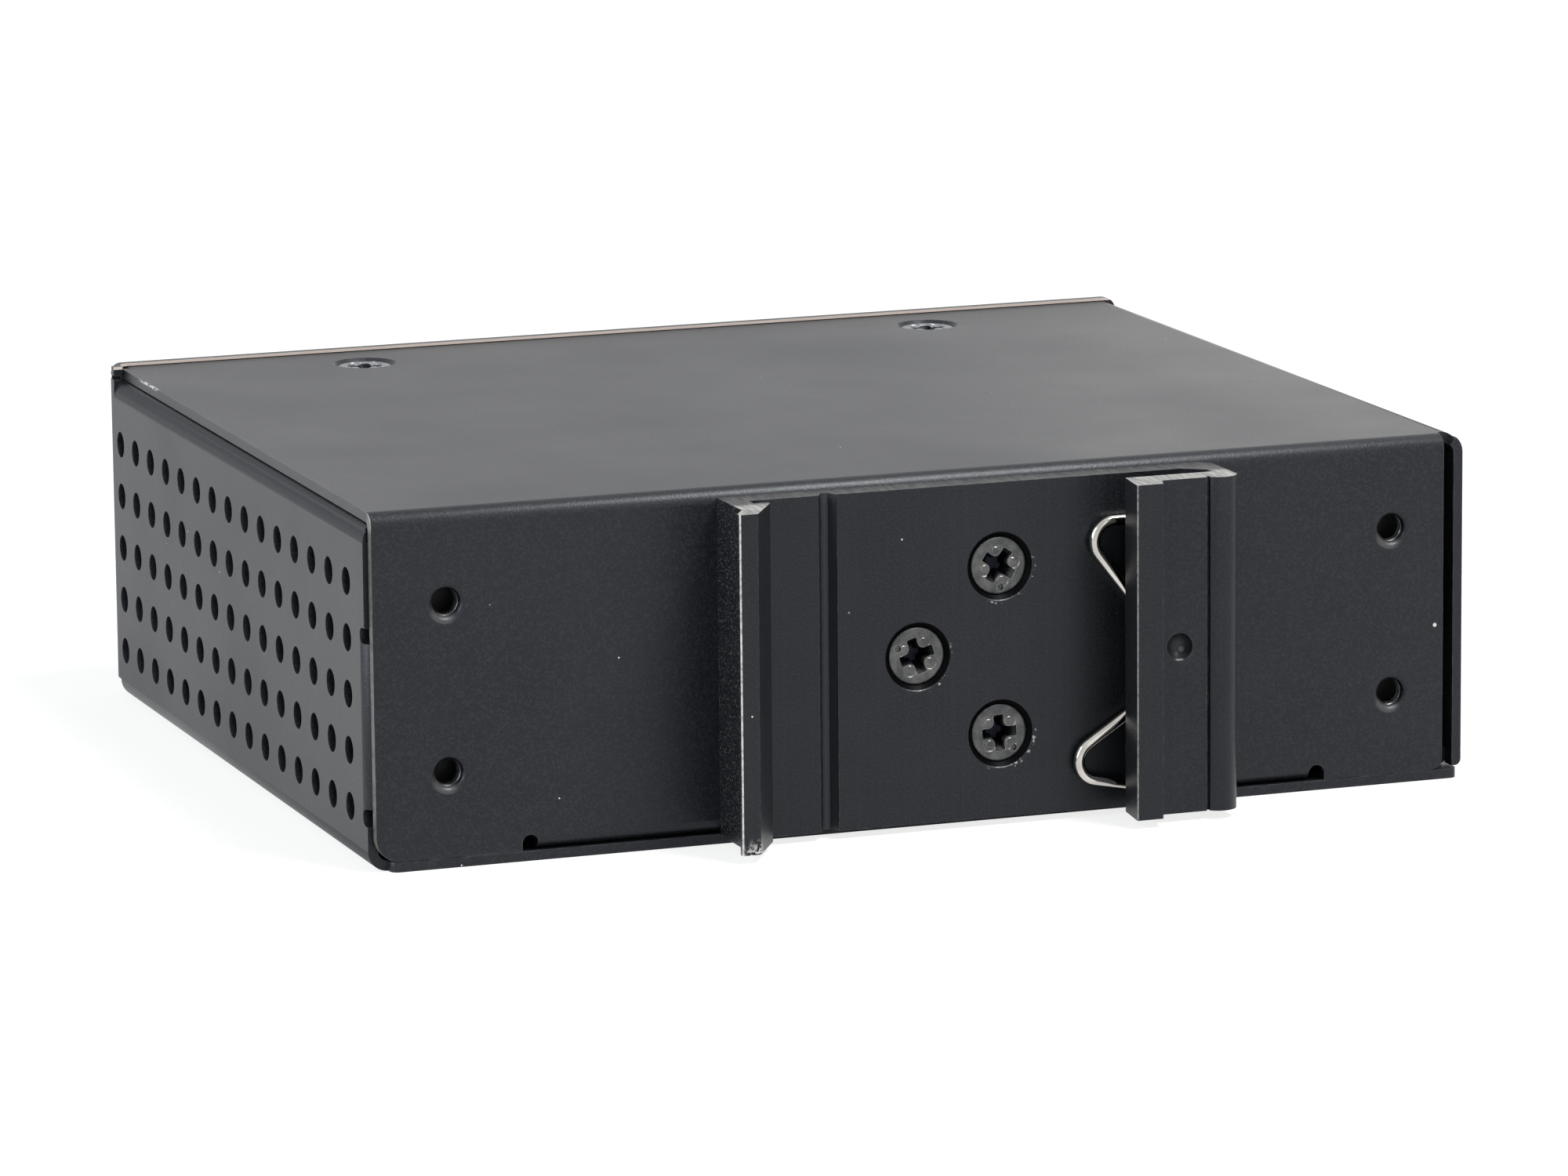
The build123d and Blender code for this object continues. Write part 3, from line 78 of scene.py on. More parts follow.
class Tree:
    """Short names for building one material's nodes."""

    def __init__(self, name):
        self.mat = bpy.data.materials.new(name)
        self.mat.use_nodes = True
        self.nodes = self.mat.node_tree.nodes
        self.links = self.mat.node_tree.links
        self.nodes.clear()
        self.out = self.nodes.new("ShaderNodeOutputMaterial")
        self.bsdf = self.nodes.new("ShaderNodeBsdfPrincipled")
        self.links.new(self.bsdf.outputs[0], self.out.inputs[0])
        self.where = self.nodes.new("ShaderNodeTexCoord").outputs["Object"]

    def feed(self, target, value):
        if isinstance(value, bpy.types.NodeSocket):
            self.links.new(value, target)
        elif value is not None:
            target.default_value = value

    def stretch(self, scale):
        node = self.nodes.new("ShaderNodeMapping")
        node.inputs["Scale"].default_value = scale
        self.links.new(self.where, node.inputs["Vector"])
        return node.outputs[0]

    def noise(self, per_mm, detail=3.0, stretch=(1, 1, 1)):
        """Noise with about per_mm bumps in a millimetre."""
        node = self.nodes.new("ShaderNodeTexNoise")
        node.inputs["Scale"].default_value = 1.0
        node.inputs["Detail"].default_value = detail
        node.inputs["Roughness"].default_value = NOISE_ROUGH
        self.links.new(self.stretch([per_mm / MM * s for s in stretch]), node.inputs["Vector"])
        return node.outputs["Fac"]

    def cells(self, per_mm):
        node = self.nodes.new("ShaderNodeTexVoronoi")
        node.inputs["Scale"].default_value = 1.0
        self.links.new(self.stretch([per_mm / MM] * 3), node.inputs["Vector"])
        return node.outputs["Distance"]

    def ramp(self, value, low, high, to_low=0.0, to_high=1.0):
        node = self.nodes.new("ShaderNodeMapRange")
        node.interpolation_type = "SMOOTHSTEP"
        for key, number in (("From Min", low), ("From Max", high),
                            ("To Min", to_low), ("To Max", to_high)):
            node.inputs[key].default_value = number
        self.links.new(value, node.inputs["Value"])
        return node.outputs[0]

    def math(self, kind, a, b=None):
        node = self.nodes.new("ShaderNodeMath")
        node.operation = kind
        self.feed(node.inputs[0], a)
        self.feed(node.inputs[1], b)
        return node.outputs[0]

    def mix(self, fac, a, b):
        node = self.nodes.new("ShaderNodeMix")
        node.data_type = "RGBA"
        self.feed(node.inputs[0], fac)
        for socket, value in ((node.inputs[6], a), (node.inputs[7], b)):
            self.feed(socket, (*value, 1) if isinstance(value, tuple) else value)
        return node.outputs[2]

    def bump(self, height, depth_mm, under=None):
        node = self.nodes.new("ShaderNodeBump")
        node.inputs["Strength"].default_value = 1.0
        node.inputs["Distance"].default_value = depth_mm * MM
        self.links.new(height, node.inputs["Height"])
        if under is not None:
            self.links.new(under, node.inputs["Normal"])
        return node.outputs[0]

    def rim(self, radius_mm, low=0.01, high=0.12):
        """1 along the sharp edges, 0 on the flats."""
        bevel = self.nodes.new("ShaderNodeBevel")
        bevel.samples = RIM_SAMPLES
        bevel.inputs["Radius"].default_value = radius_mm * MM
        dot = self.nodes.new("ShaderNodeVectorMath")
        dot.operation = "DOT_PRODUCT"
        self.links.new(bevel.outputs[0], dot.inputs[0])
        self.links.new(self.nodes.new("ShaderNodeNewGeometry").outputs["Normal"], dot.inputs[1])
        return self.ramp(self.math("SUBTRACT", 1.0, dot.outputs["Value"]), low, high)

    def distance(self, centre, across="XYZ"):
        """Distance from a point of the frame (mm), counted on the named axes only."""
        node = self.nodes.new("ShaderNodeVectorMath")
        node.operation = "DISTANCE"
        keep = [1.0 if axis in across else 0.0 for axis in "XYZ"]
        self.links.new(self.stretch(keep), node.inputs[0])
        node.inputs[1].default_value = [c * k * MM for c, k in zip(centre, keep)]
        return node.outputs["Value"]

    def near(self, centre, radius_mm, across="XYZ"):
        """1 at a point of the frame (mm), falling to 0 at a radius from it."""
        return self.ramp(self.distance(centre, across), 0.0, radius_mm * MM, 1.0, 0.0)

    def band(self, centre, inner_mm, outer_mm, soft_mm, across="XZ"):
        """1 between two radii round a line through a point of the frame (mm)."""
        far = self.distance(centre, across)
        return self.math("MULTIPLY", self.ramp(far, (inner_mm - soft_mm) * MM, inner_mm * MM),
                         self.ramp(far, outer_mm * MM, (outer_mm + soft_mm) * MM, 1.0, 0.0))

    def faces(self, axis, low, high):
        """1 where the surface faces along an axis, between two shares of it."""
        split = self.nodes.new("ShaderNodeSeparateXYZ")
        geometry = self.nodes.new("ShaderNodeNewGeometry")
        self.links.new(geometry.outputs["Normal"], split.inputs[0])
        return self.ramp(split.outputs[axis], low, high)

    def along(self, axis, low_mm, high_mm, to_low=0.0, to_high=1.0):
        """Goes from one value to another between two places on an axis of the frame (mm)."""
        split = self.nodes.new("ShaderNodeSeparateXYZ")
        self.links.new(self.where, split.inputs[0])
        return self.ramp(split.outputs[axis], low_mm * MM, high_mm * MM, to_low, to_high)

    def both(self, *masks):
        total = masks[0]
        for mask in masks[1:]:
            total = self.math("MULTIPLY", total, mask)
        return total

    def either(self, *masks):
        total = masks[0]
        for mask in masks[1:]:
            total = self.math("MAXIMUM", total, mask)
        return total

    def finish(self, **sockets):
        for name, value in sockets.items():
            key = name.replace("_", " ")
            if isinstance(value, tuple) and len(value) == 3:
                value = (*value, 1)
            self.feed(self.bsdf.inputs[key], value)
        return self.mat


# Materials of what the photograph shows
BLACK_SHEEN = 0.31
BLACK_TINT = (0.86, 0.92, 1.0)


def powder_coat():
    """Fine-textured black powder coat with dust, rubbed edges and a few marks, plus painted
    highlights on the front panel's top rim and round the open tapped holes, and painted shade in
    the cover screws' countersinks.
    """
    t = Tree("powder_coat")
    grain = t.noise(5.0, detail=2.0)
    lumps = t.noise(1.6, detail=3.0)
    cloud = t.noise(0.05, detail=4.0)
    base = t.mix(t.ramp(cloud, 0.3, 0.7), (0.0038, 0.0044, 0.0062), (0.0064, 0.0070, 0.0090))
    base = t.mix(t.ramp(grain, 0.42, 0.72, 0.0, 0.7), base, (0.017, 0.0178, 0.0203))
    specks = t.both(t.ramp(t.cells(0.35), 0.035, 0.02), t.ramp(t.noise(0.12), 0.56, 0.6))
    worn = t.both(t.rim(0.12), t.ramp(t.noise(0.8, detail=4.0), 0.35, 0.65, 0.1, 0.75))
    base = t.mix(worn, base, (0.085, 0.085, 0.088))
    end = t.both(t.near(BEND_END_AT, 1.1, "XY"), t.ramp(t.faces("X", -1, 1), 0.3, 0.1))
    base = t.mix(t.both(t.ramp(end, 0.1, 0.5), t.ramp(t.noise(1.4, detail=4.0), 0.3, 0.6, 0.35, 1)),
                 base, (0.075, 0.071, 0.066))
    corner = t.both(t.near(RUBBED_CORNER_AT, 1.3), t.rim(0.12))
    scratch = t.both(t.near(SCRATCH_AT, 0.32, "XZ"),
                     t.along("Y", 29.5, 31.0), t.along("Y", 37.0, 35.5),
                     t.ramp(t.noise(3.0, detail=3.0, stretch=(1.5, 0.2, 1)), 0.44, 0.54))
    base = t.mix(t.either(corner, scratch), base, (0.50, 0.50, 0.48))
    # Painted highlight: a thin strip along the front panel's top rim, just above the case top and
    # facing the rear, is painted a pale pinkish grey.
    front = t.both(t.along("Z", CASE_TOP + 0.02, CASE_TOP + 0.06), t.along("Y", 39.0, 40.0),
                   t.ramp(t.faces("Y", -1, 1), 0.35, 0.1))
    base = t.mix(front, base, (0.46, 0.39, 0.36))
    # Painted highlight: a pale crescent on the lower-left of each open tapped hole's dished rim, on
    # the rear face.
    pale = t.either(*[t.both(t.band((x, 0, z), 1.26, 1.8, 0.2),
                             t.near((x - 0.45, 0, z - 1.15), 1.9, "XZ"),
                             t.along("Y", REAR_Y + 0.7, REAR_Y + 0.4)) for x, z in OPEN_HOLES])
    base = t.mix(t.ramp(pale, 0.1, 0.75), base, (0.040, 0.040, 0.041))
    smudge = t.both(t.near(SMUDGE_AT, 4.0), t.ramp(t.noise(0.7, detail=4.0), 0.45, 0.6))
    base = t.mix(t.math("MULTIPLY", smudge, 0.35), base, (0.12, 0.12, 0.115))
    # Painted shade: the cover screws' countersinks, just under the top, are painted near black.
    painted_countersink_shade = t.either(*[t.both(t.near((x, y, 0), 3.3, "XY"),
                             t.along("Z", CASE_TOP - 0.03, CASE_TOP - 0.15))
                      for x, y in COVER_HOLES])
    specks = t.either(specks, t.ramp(t.near(DUST_SPECK_AT, 0.3), 0.2, 0.5))
    base = t.mix(specks, base, (0.45, 0.45, 0.43))
    # Painted shade laid over the countersinks, above the specks.
    base = t.mix(t.ramp(painted_countersink_shade, 0.02, 0.2), base, (0.002, 0.002, 0.002))
    normal = t.bump(lumps, 0.010, t.bump(grain, 0.020))
    rough = t.ramp(t.math("ADD", t.math("MULTIPLY", cloud, 0.5), t.math("MULTIPLY", grain, 0.5)),
                   0.2, 0.8, 0.34, 0.46)
    rough = t.math("ADD", rough, t.math("MULTIPLY", smudge, 0.12))
    return t.finish(Base_Color=base, Roughness=rough, Normal=normal,
                    Specular_IOR_Level=BLACK_SHEEN, Specular_Tint=BLACK_TINT)


def anodised():
    """Black anodised extrusion: faint die lines along Z, pale sawn ends and rubbed tips, with
    painted light in the groove and on the stake dent, a painted glint beside it, and painted shade
    in the screw countersinks.
    """
    t = Tree("black_anodised")
    lines = t.noise(2.0, detail=3.0, stretch=(1.0, 1.0, 0.01))
    grain = t.noise(5.0, detail=2.0)
    cloud = t.noise(0.12, detail=3.0)
    base = t.mix(t.ramp(cloud, 0.3, 0.7), (0.0027, 0.0030, 0.0043), (0.0047, 0.0051, 0.0066))
    base = t.mix(t.ramp(lines, 0.4, 0.7, 0.0, 0.2), base, (0.0105, 0.0109, 0.0128))
    base = t.mix(t.ramp(grain, 0.42, 0.72, 0.0, 0.7), base, (0.0135, 0.0139, 0.0158))
    # Painted light: the floor and wall of the groove in the plate are painted lighter, to lift the
    # shade there.
    groove_fill_light = t.both(t.along("X", -10.7, -10.4), t.along("X", -9.2, -9.5),
                    t.along("Y", PLATE_Y + 0.02, PLATE_Y + 0.15))
    base = t.mix(groove_fill_light, base, (0.024, 0.025, 0.029))
    sandy = t.both(t.ramp(t.noise(5.5, detail=2.0), 0.60, 0.68), t.along("X", -19.0, -19.4),
                   t.ramp(t.faces("X", -1, 1), 0.4, 0.2))
    base = t.mix(sandy, base, (0.09, 0.09, 0.09))
    # Painted light: the stake dent is painted lighter, and a painted glint sits beside its centre.
    dent_fill_light = t.near(STAKE_AT, 1.7)
    base = t.mix(dent_fill_light, base, (0.030, 0.031, 0.034))
    base = t.mix(t.ramp(t.near(STAKE_GLINT_AT, 0.7), 0.2, 0.5), base, (0.13, 0.13, 0.135))
    specks = t.both(t.ramp(t.cells(0.30), 0.035, 0.02), t.ramp(t.noise(0.15), 0.56, 0.6))
    base = t.mix(specks, base, (0.4, 0.4, 0.38))
    geometry = t.nodes.new("ShaderNodeNewGeometry")
    split = t.nodes.new("ShaderNodeSeparateXYZ")
    t.links.new(geometry.outputs["Normal"], split.inputs[0])
    sawn = t.ramp(t.math("ABSOLUTE", split.outputs["Z"]), 0.9, 0.98)
    saw = t.noise(3.0, detail=3.0, stretch=(1.6, 0.12, 1.0))
    pale = t.mix(t.ramp(saw, 0.35, 0.7), (0.10, 0.10, 0.097), (0.26, 0.26, 0.25))
    dull = t.mix(t.ramp(saw, 0.35, 0.7), (0.014, 0.014, 0.015), (0.045, 0.045, 0.045))
    base = t.mix(sawn, base, t.mix(t.along("Y", -44.6, -43.2), pale, dull))
    worn = t.both(t.rim(0.10), t.ramp(t.noise(1.1, detail=4.0), 0.4, 0.7, 0.05, 0.7))
    base = t.mix(worn, base, (0.12, 0.12, 0.118))
    edge = t.ramp(t.near(HOOK_EDGE_AT, 0.22, "XY"), 0.15, 0.6)
    thin = t.ramp(t.near(CHANNEL_EDGE_AT, 0.20, "XY"), 0.2, 0.8, 0.0, 0.35)
    edge = t.both(t.either(edge, thin), t.ramp(t.noise(2.6, detail=4.0), 0.36, 0.56, 0.55, 1.0))
    base = t.mix(edge, base, (0.42, 0.42, 0.41))
    chips = t.both(t.ramp(t.noise(2.8, detail=4.0), 0.48, 0.54), t.near(HOOK_FOOT_AT, 2.0))
    spots = t.either(*[t.both(t.band((x, 0, z), 3.12, 3.35, 0.1),
                              t.near((x + 2.0, 0, z - 2.2), 4.2, "XZ")) for x, z in CLIP_HOLES])
    spots = t.both(t.ramp(spots, 0.05, 0.3), t.ramp(t.noise(3.2, detail=3.0), 0.60, 0.64))
    base = t.mix(chips, base, (0.50, 0.50, 0.48))
    base = t.mix(spots, base, (0.24, 0.24, 0.23))
    # Painted shade: the clip screws' countersinks are painted near black and lose most of their
    # reflection.
    painted_countersink_shade = t.either(*[t.near((x, 0, z), 3.6, "XZ") for x, z in CLIP_HOLES])
    painted_countersink_shade = t.both(t.ramp(painted_countersink_shade, 0.01, 0.05), t.along("Y", PLATE_Y + 0.03, PLATE_Y + 0.12))
    base = t.mix(painted_countersink_shade, base, (0.0015, 0.0015, 0.0018))
    height = t.math("ADD", t.math("MULTIPLY", lines, 0.35), t.math("MULTIPLY", grain, 0.4))
    rough = t.math("ADD", t.ramp(grain, 0.2, 0.8, 0.32, 0.44), t.math("MULTIPLY", sawn, 0.1))
    return t.finish(Base_Color=base, Roughness=rough, Normal=t.bump(height, 0.014),
                    Specular_IOR_Level=t.ramp(painted_countersink_shade, 0.0, 1.0, BLACK_SHEEN, 0.02),
                    Specular_Tint=BLACK_TINT)


def black_screw():
    """Black zinc over cold-headed steel, rubbed on the edges, with painted shade in the cross and a
    lighter painted tone on the screws in the top cover.
    """
    t = Tree("black_screw")
    grain = t.noise(6.0, detail=4.0)
    patch = t.noise(0.7, detail=3.0)
    base = t.mix(t.ramp(patch, 0.3, 0.7), (0.050, 0.053, 0.056), (0.108, 0.110, 0.108))
    base = t.mix(t.ramp(grain, 0.5, 0.8, 0, 0.5), base, (0.19, 0.19, 0.18))
    base = t.mix(t.math("MULTIPLY", t.rim(0.07), 0.7), base, (0.50, 0.49, 0.47))
    head_y, head_z = PLATE_Y + HEAD_SUNK_CLIP, CASE_TOP - HEAD_SUNK_COVER
    # Painted shade: everything below the head's face, the cross recess's walls and floor, is
    # painted near black.
    painted_recess_shade = t.math("MINIMUM", t.along("Y", head_y + 0.12, head_y + 0.75),
                  t.along("Z", head_z - 0.03, head_z - 0.16))
    # Painted light: the two screws in the top cover, beyond 5 mm along Y, are painted a lighter
    # grey than the same screws in the rear.
    base = t.mix(t.along("Y", 0, 5), base, (0.20, 0.21, 0.22))
    base = t.mix(painted_recess_shade, base, (0.007, 0.008, 0.013))
    return t.finish(Base_Color=base, Metallic=0.9, Roughness=t.ramp(grain, 0.2, 0.8, 0.30, 0.48),
                    Normal=t.bump(grain, 0.006))


def bright_wire():
    t = Tree("spring_wire")
    drawn = t.noise(5.0, detail=3.0)
    patch = t.noise(0.4, detail=2.0)
    base = t.mix(t.ramp(patch, 0.35, 0.7), (0.60, 0.58, 0.55), (0.44, 0.42, 0.39))
    return t.finish(Base_Color=base, Metallic=1.0, Roughness=t.ramp(drawn, 0.2, 0.8, 0.08, 0.18),
                    Normal=t.bump(drawn, 0.002))


# Materials of what it holds inside and at the front
def plated(name, low, high, rough, metal=1.0):
    """Plated or drawn metal with faint streaks and a fine grain."""
    t = Tree(name)
    streak = t.noise(1.5, detail=3.0, stretch=(1.0, 1.0, 0.2))
    grain = t.noise(8.0, detail=2.0)
    base = t.mix(t.ramp(streak, 0.3, 0.7), low, high)
    spread = t.ramp(grain, 0.2, 0.8, rough - 0.06, rough + 0.08)
    return t.finish(Base_Color=base, Metallic=metal, Roughness=spread, Normal=t.bump(grain, 0.003))


def moulded(name, low, high, rough, sheen=0.5):
    """Moulded plastic or epoxy with a spark-eroded texture."""
    t = Tree(name)
    cloud = t.noise(0.25, detail=3.0)
    pits = t.noise(10.0, detail=2.0)
    base = t.mix(t.ramp(cloud, 0.3, 0.7), low, high)
    base = t.mix(t.math("MULTIPLY", t.rim(0.08), 0.35), base,
                 tuple(min(1.0, 1.9 * c + 0.01) for c in high))
    spread = t.ramp(pits, 0.2, 0.8, rough - 0.06, rough + 0.08)
    return t.finish(Base_Color=base, Roughness=spread, Normal=t.bump(pits, 0.006),
                    Specular_IOR_Level=sheen)


def board_mask():
    """Green solder mask with buried tracks that show as a faint relief."""
    t = Tree("board")
    brick = t.nodes.new("ShaderNodeTexBrick")
    brick.inputs["Scale"].default_value = 1.0
    brick.inputs["Mortar Size"].default_value = 0.12
    brick.inputs["Brick Width"].default_value = 1.7
    brick.inputs["Row Height"].default_value = 0.9
    t.links.new(t.stretch((1000, 1000, 1000)), brick.inputs["Vector"])
    patch = t.ramp(t.noise(0.14, detail=1.0), 0.48, 0.52)
    tracks = t.math("MULTIPLY", brick.outputs["Fac"], patch)
    base = t.mix(tracks, (0.012, 0.105, 0.040), (0.03, 0.19, 0.07))
    base = t.mix(t.ramp(t.noise(0.6), 0.3, 0.7, 0, 0.3), base, (0.008, 0.07, 0.03))
    return t.finish(Base_Color=base, Roughness=t.ramp(t.noise(4.0), 0.2, 0.8, 0.22, 0.34),
                    Normal=t.bump(tracks, 0.02))


def lamp_lens():
    t = Tree("lamp_lens")
    cloud = t.noise(0.8, detail=2.0)
    base = t.mix(t.ramp(cloud, 0.3, 0.7), (0.30, 0.52, 0.26), (0.42, 0.62, 0.34))
    return t.finish(Base_Color=base, Roughness=t.ramp(t.noise(5.0), 0.2, 0.8, 0.12, 0.22),
                    Normal=t.bump(cloud, 0.004), Subsurface_Weight=0.3,
                    Subsurface_Scale=0.001)


def windings():
    """Enamelled copper, one ridge per turn."""
    t = Tree("copper_wire")
    turns = t.nodes.new("ShaderNodeTexWave")
    turns.bands_direction = "Z"
    turns.inputs["Scale"].default_value = 0.35
    turns.inputs["Distortion"].default_value = 0.3
    t.links.new(t.stretch((1000, 1000, 1000)), turns.inputs["Vector"])
    base = t.mix(turns.outputs["Fac"], (0.20, 0.055, 0.018), (0.55, 0.22, 0.08))
    return t.finish(Base_Color=base, Metallic=0.7,
                    Roughness=t.ramp(t.noise(3.0), 0.2, 0.8, 0.25, 0.4),
                    Normal=t.bump(turns.outputs["Fac"], 0.08))


def film_sheet():
    """Thin black insulating sheet, a little wavy."""
    t = Tree("film")
    cloud = t.noise(0.08, detail=4.0)
    base = t.mix(t.ramp(cloud, 0.3, 0.7), (0.010, 0.010, 0.011), (0.018, 0.018, 0.019))
    return t.finish(Base_Color=base, Roughness=t.ramp(t.noise(2.0), 0.2, 0.8, 0.40, 0.52),
                    Normal=t.bump(cloud, 0.1), Specular_IOR_Level=0.3)


MATERIALS = {
    "powder_coat": powder_coat(),
    "black_anodised": anodised(),
    "black_screw": black_screw(),
    "spring_wire": bright_wire(),
    "bare_steel": plated("bare_steel", (0.50, 0.50, 0.48), (0.66, 0.66, 0.63), 0.30),
    # Painted shade: the tapped threads are a darkened copy of the bare steel, standing in for the
    # shade inside the holes.
    "thread_in_painted_shade": plated("thread_in_painted_shade", (0.11, 0.115, 0.125), (0.18, 0.185, 0.195), 0.30),
    "tin_plate": plated("tin_plate", (0.62, 0.62, 0.60), (0.76, 0.75, 0.72), 0.26),
    "gold_contact": plated("gold_contact", (0.72, 0.50, 0.18), (0.86, 0.66, 0.30), 0.2),
    "can_aluminium": plated("can_aluminium", (0.66, 0.66, 0.66), (0.80, 0.80, 0.80), 0.28),
    "black_plastic": moulded("black_plastic", (0.012, 0.012, 0.013), (0.022, 0.022, 0.024), 0.42),
    "green_plastic": moulded("green_plastic", (0.012, 0.16, 0.045), (0.02, 0.21, 0.065), 0.38),
    "chip_epoxy": moulded("chip_epoxy", (0.018, 0.018, 0.019), (0.03, 0.03, 0.031), 0.5),
    "ferrite": moulded("ferrite", (0.03, 0.03, 0.033), (0.06, 0.06, 0.064), 0.55, 0.3),
    "blue_epoxy": moulded("blue_epoxy", (0.015, 0.05, 0.22), (0.025, 0.08, 0.30), 0.24),
    "fuse_body": moulded("fuse_body", (0.60, 0.57, 0.49), (0.70, 0.67, 0.58), 0.5),
    "board": board_mask(),
    "lamp_lens": lamp_lens(),
    "copper_wire": windings(),
    "film": film_sheet(),
}


def dress_nodes():
    """Every CAD node takes the procedural material of its slot in the record."""
    for entry in frame["record"]["subparts"]:
        mesh = NODES[entry["node"]].data
        mesh.materials.clear()
        mesh.materials.append(MATERIALS[entry["material_slot"]])
        for polygon in mesh.polygons:
            polygon.material_index = 0


COAT_ROUND = 0.12
SHARP_FROM_DEG = 35
WELD_WITHIN = 1e-6            # metres


def soften(node, width_mm):
    """Rounds a CAD node's sharp edges a little, as paint or tumbling does."""
    obj = NODES[node]
    weld = obj.modifiers.new("weld", "WELD")
    weld.merge_threshold = WELD_WITHIN
    bevel = obj.modifiers.new("bevel", "BEVEL")
    bevel.width = width_mm * MM
    bevel.segments = 2
    bevel.limit_method = "ANGLE"
    bevel.angle_limit = math.radians(SHARP_FROM_DEG)
    bevel.use_clamp_overlap = True


# Mesh helpers
def piece(name, mesh_data, slot, look=None):
    obj = bpy.data.objects.new(name, mesh_data)
    bpy.context.scene.collection.objects.link(obj)
    obj.data.materials.append(MATERIALS[look or slot])
    return obj


def mesh_from(name, verts, faces, smooth_deg=30):
    data = bpy.data.meshes.new(name)
    data.from_pydata([tuple(c * MM for c in v) for v in verts], [], faces)
    data.validate()
    work = bmesh.new()
    work.from_mesh(data)
    bmesh.ops.recalc_face_normals(work, faces=work.faces)
    work.to_mesh(data)
    work.free()
    shade(data, smooth_deg)
    return data


def shade(data, smooth_deg):
    """Smooth faces, with edges sharper than the angle kept crisp."""
    for polygon in data.polygons:
        polygon.use_smooth = True
    data.set_sharp_from_angle(angle=math.radians(smooth_deg))


def lathe(name, outline, steps=64, smooth_deg=30):
    """Outline of (radius, height) points turned about Z, closed at radius 0 or as a loop."""
    verts, faces, rings = [], [], []
    for i_point, (r, z) in enumerate(outline):
        if i_point and (r, z) == outline[0]:
            rings.append(rings[0])
            continue
        if r == 0:
            rings.append([len(verts)] * steps)
            verts.append((0, 0, z))
            continue
        rings.append(list(range(len(verts), len(verts) + steps)))
        verts += [(r * math.cos(2 * math.pi * i / steps), r * math.sin(2 * math.pi * i / steps), z)
                  for i in range(steps)]
    for a, b in zip(rings, rings[1:]):
        for i in range(steps):
            j = (i + 1) % steps
            corner = [a[i], a[j], b[j], b[i]]
            face = [v for k, v in enumerate(corner) if v not in corner[:k]]
            if len(face) > 2:
                faces.append(face)
    return mesh_from(name, verts, faces, smooth_deg)


def cut(obj, cutters):
    """Subtracts closed meshes from an object and bakes the result into its mesh."""
    for cutter in cutters:
        bpy.context.scene.collection.objects.link(cutter)
        modifier = obj.modifiers.new("cut", "BOOLEAN")
        modifier.operation = "DIFFERENCE"
        modifier.solver = "EXACT"
        modifier.object = cutter
    graph = bpy.context.evaluated_depsgraph_get()
    made = bpy.data.meshes.new_from_object(obj.evaluated_get(graph))
    obj.modifiers.clear()
    obj.data = made
    for cutter in cutters:
        bpy.data.objects.remove(cutter)
    return obj


# Screws with a cross recess
RECESS_SPAN = 3.2
RECESS_WING = 0.95
RECESS_CORNER = 0.5
RECESS_DEPTH = 1.5
DIMPLE_R = 0.34
DIMPLE_AT = 0.76 * HEAD_R
SHANK_PITCH = 0.5
CLIP_SCREW_LONG = 5.6
COVER_SCREW_LONG = 5.0


def cross_ring(reach, wing, corner, z):
    """One level of the cross: square wing ends, and hollow corners between the wings."""
    points = []
    middle = wing + corner
    for k in range(4):
        a = k * math.pi / 2
        wing_end = [(reach - 0.1 * wing, -wing), (reach, -0.75 * wing), (reach, 0.75 * wing),
                    (reach - 0.1 * wing, wing)]
        hollow = [(middle - corner * math.sin(b), middle - corner * math.cos(b))
                  for b in (0.0, math.pi / 8, math.pi / 4, 3 * math.pi / 8, math.pi / 2)]
        for x, y in wing_end + hollow:
            points.append((x * math.cos(a) - y * math.sin(a), x * math.sin(a) + y * math.cos(a), z))
    return points


def recess_cutter():
    """Cross recess: four wings that narrow as they go down."""
    wing = RECESS_WING / 2
    reach = RECESS_SPAN / 2
    levels = [(1.10, 1.05, 0.3), (1.03, 1.02, 0.0), (0.96, 0.92, -0.25),
              (0.45, 0.55, -RECESS_DEPTH)]
    rings = [cross_ring(reach * r, wing * w, RECESS_CORNER * w, z) for r, w, z in levels]
    n = len(rings[0])
    verts = [point for ring in rings for point in ring]
    faces = [[k * n + i, k * n + (i + 1) % n, (k + 1) * n + (i + 1) % n, (k + 1) * n + i]
             for k in range(len(rings) - 1) for i in range(n)]
    last = (len(rings) - 1) * n
    faces += [list(range(n)), list(range(last + n - 1, last - 1, -1))]
    return bpy.data.objects.new("recess", mesh_from("recess", verts, faces))


def petal_cutter(angle):
    """Ring pressed into the head where a corner between two wings was driven down."""
    outline = [(0.30, 0.2), (0.30, 0.02), (0.38, -0.05), (0.60, -0.07), (0.68, 0.02), (0.68, 0.2),
               (0.30, 0.2)]
    obj = bpy.data.objects.new("petal", lathe("petal", outline, 32))
    reach = (RECESS_WING / 2 + RECESS_CORNER) * math.sqrt(2)
    obj.location = Vector((reach * math.cos(angle), reach * math.sin(angle), 0)) * MM
    return obj


def dimple_cutter(angle):
    """Small pit beside the recess, left by the heading tool."""
    size = DIMPLE_R
    outline = [(0, -0.16), (size * 0.35, -0.26), (size * 0.7, -0.26), (size * 0.95, -0.05),
               (size, 0.02), (size, 0.3), (0, 0.3)]
    obj = bpy.data.objects.new("dimple", lathe("dimple", outline, 20))
    obj.location = Vector((DIMPLE_AT * math.cos(angle), DIMPLE_AT * math.sin(angle), 0)) * MM
    return obj


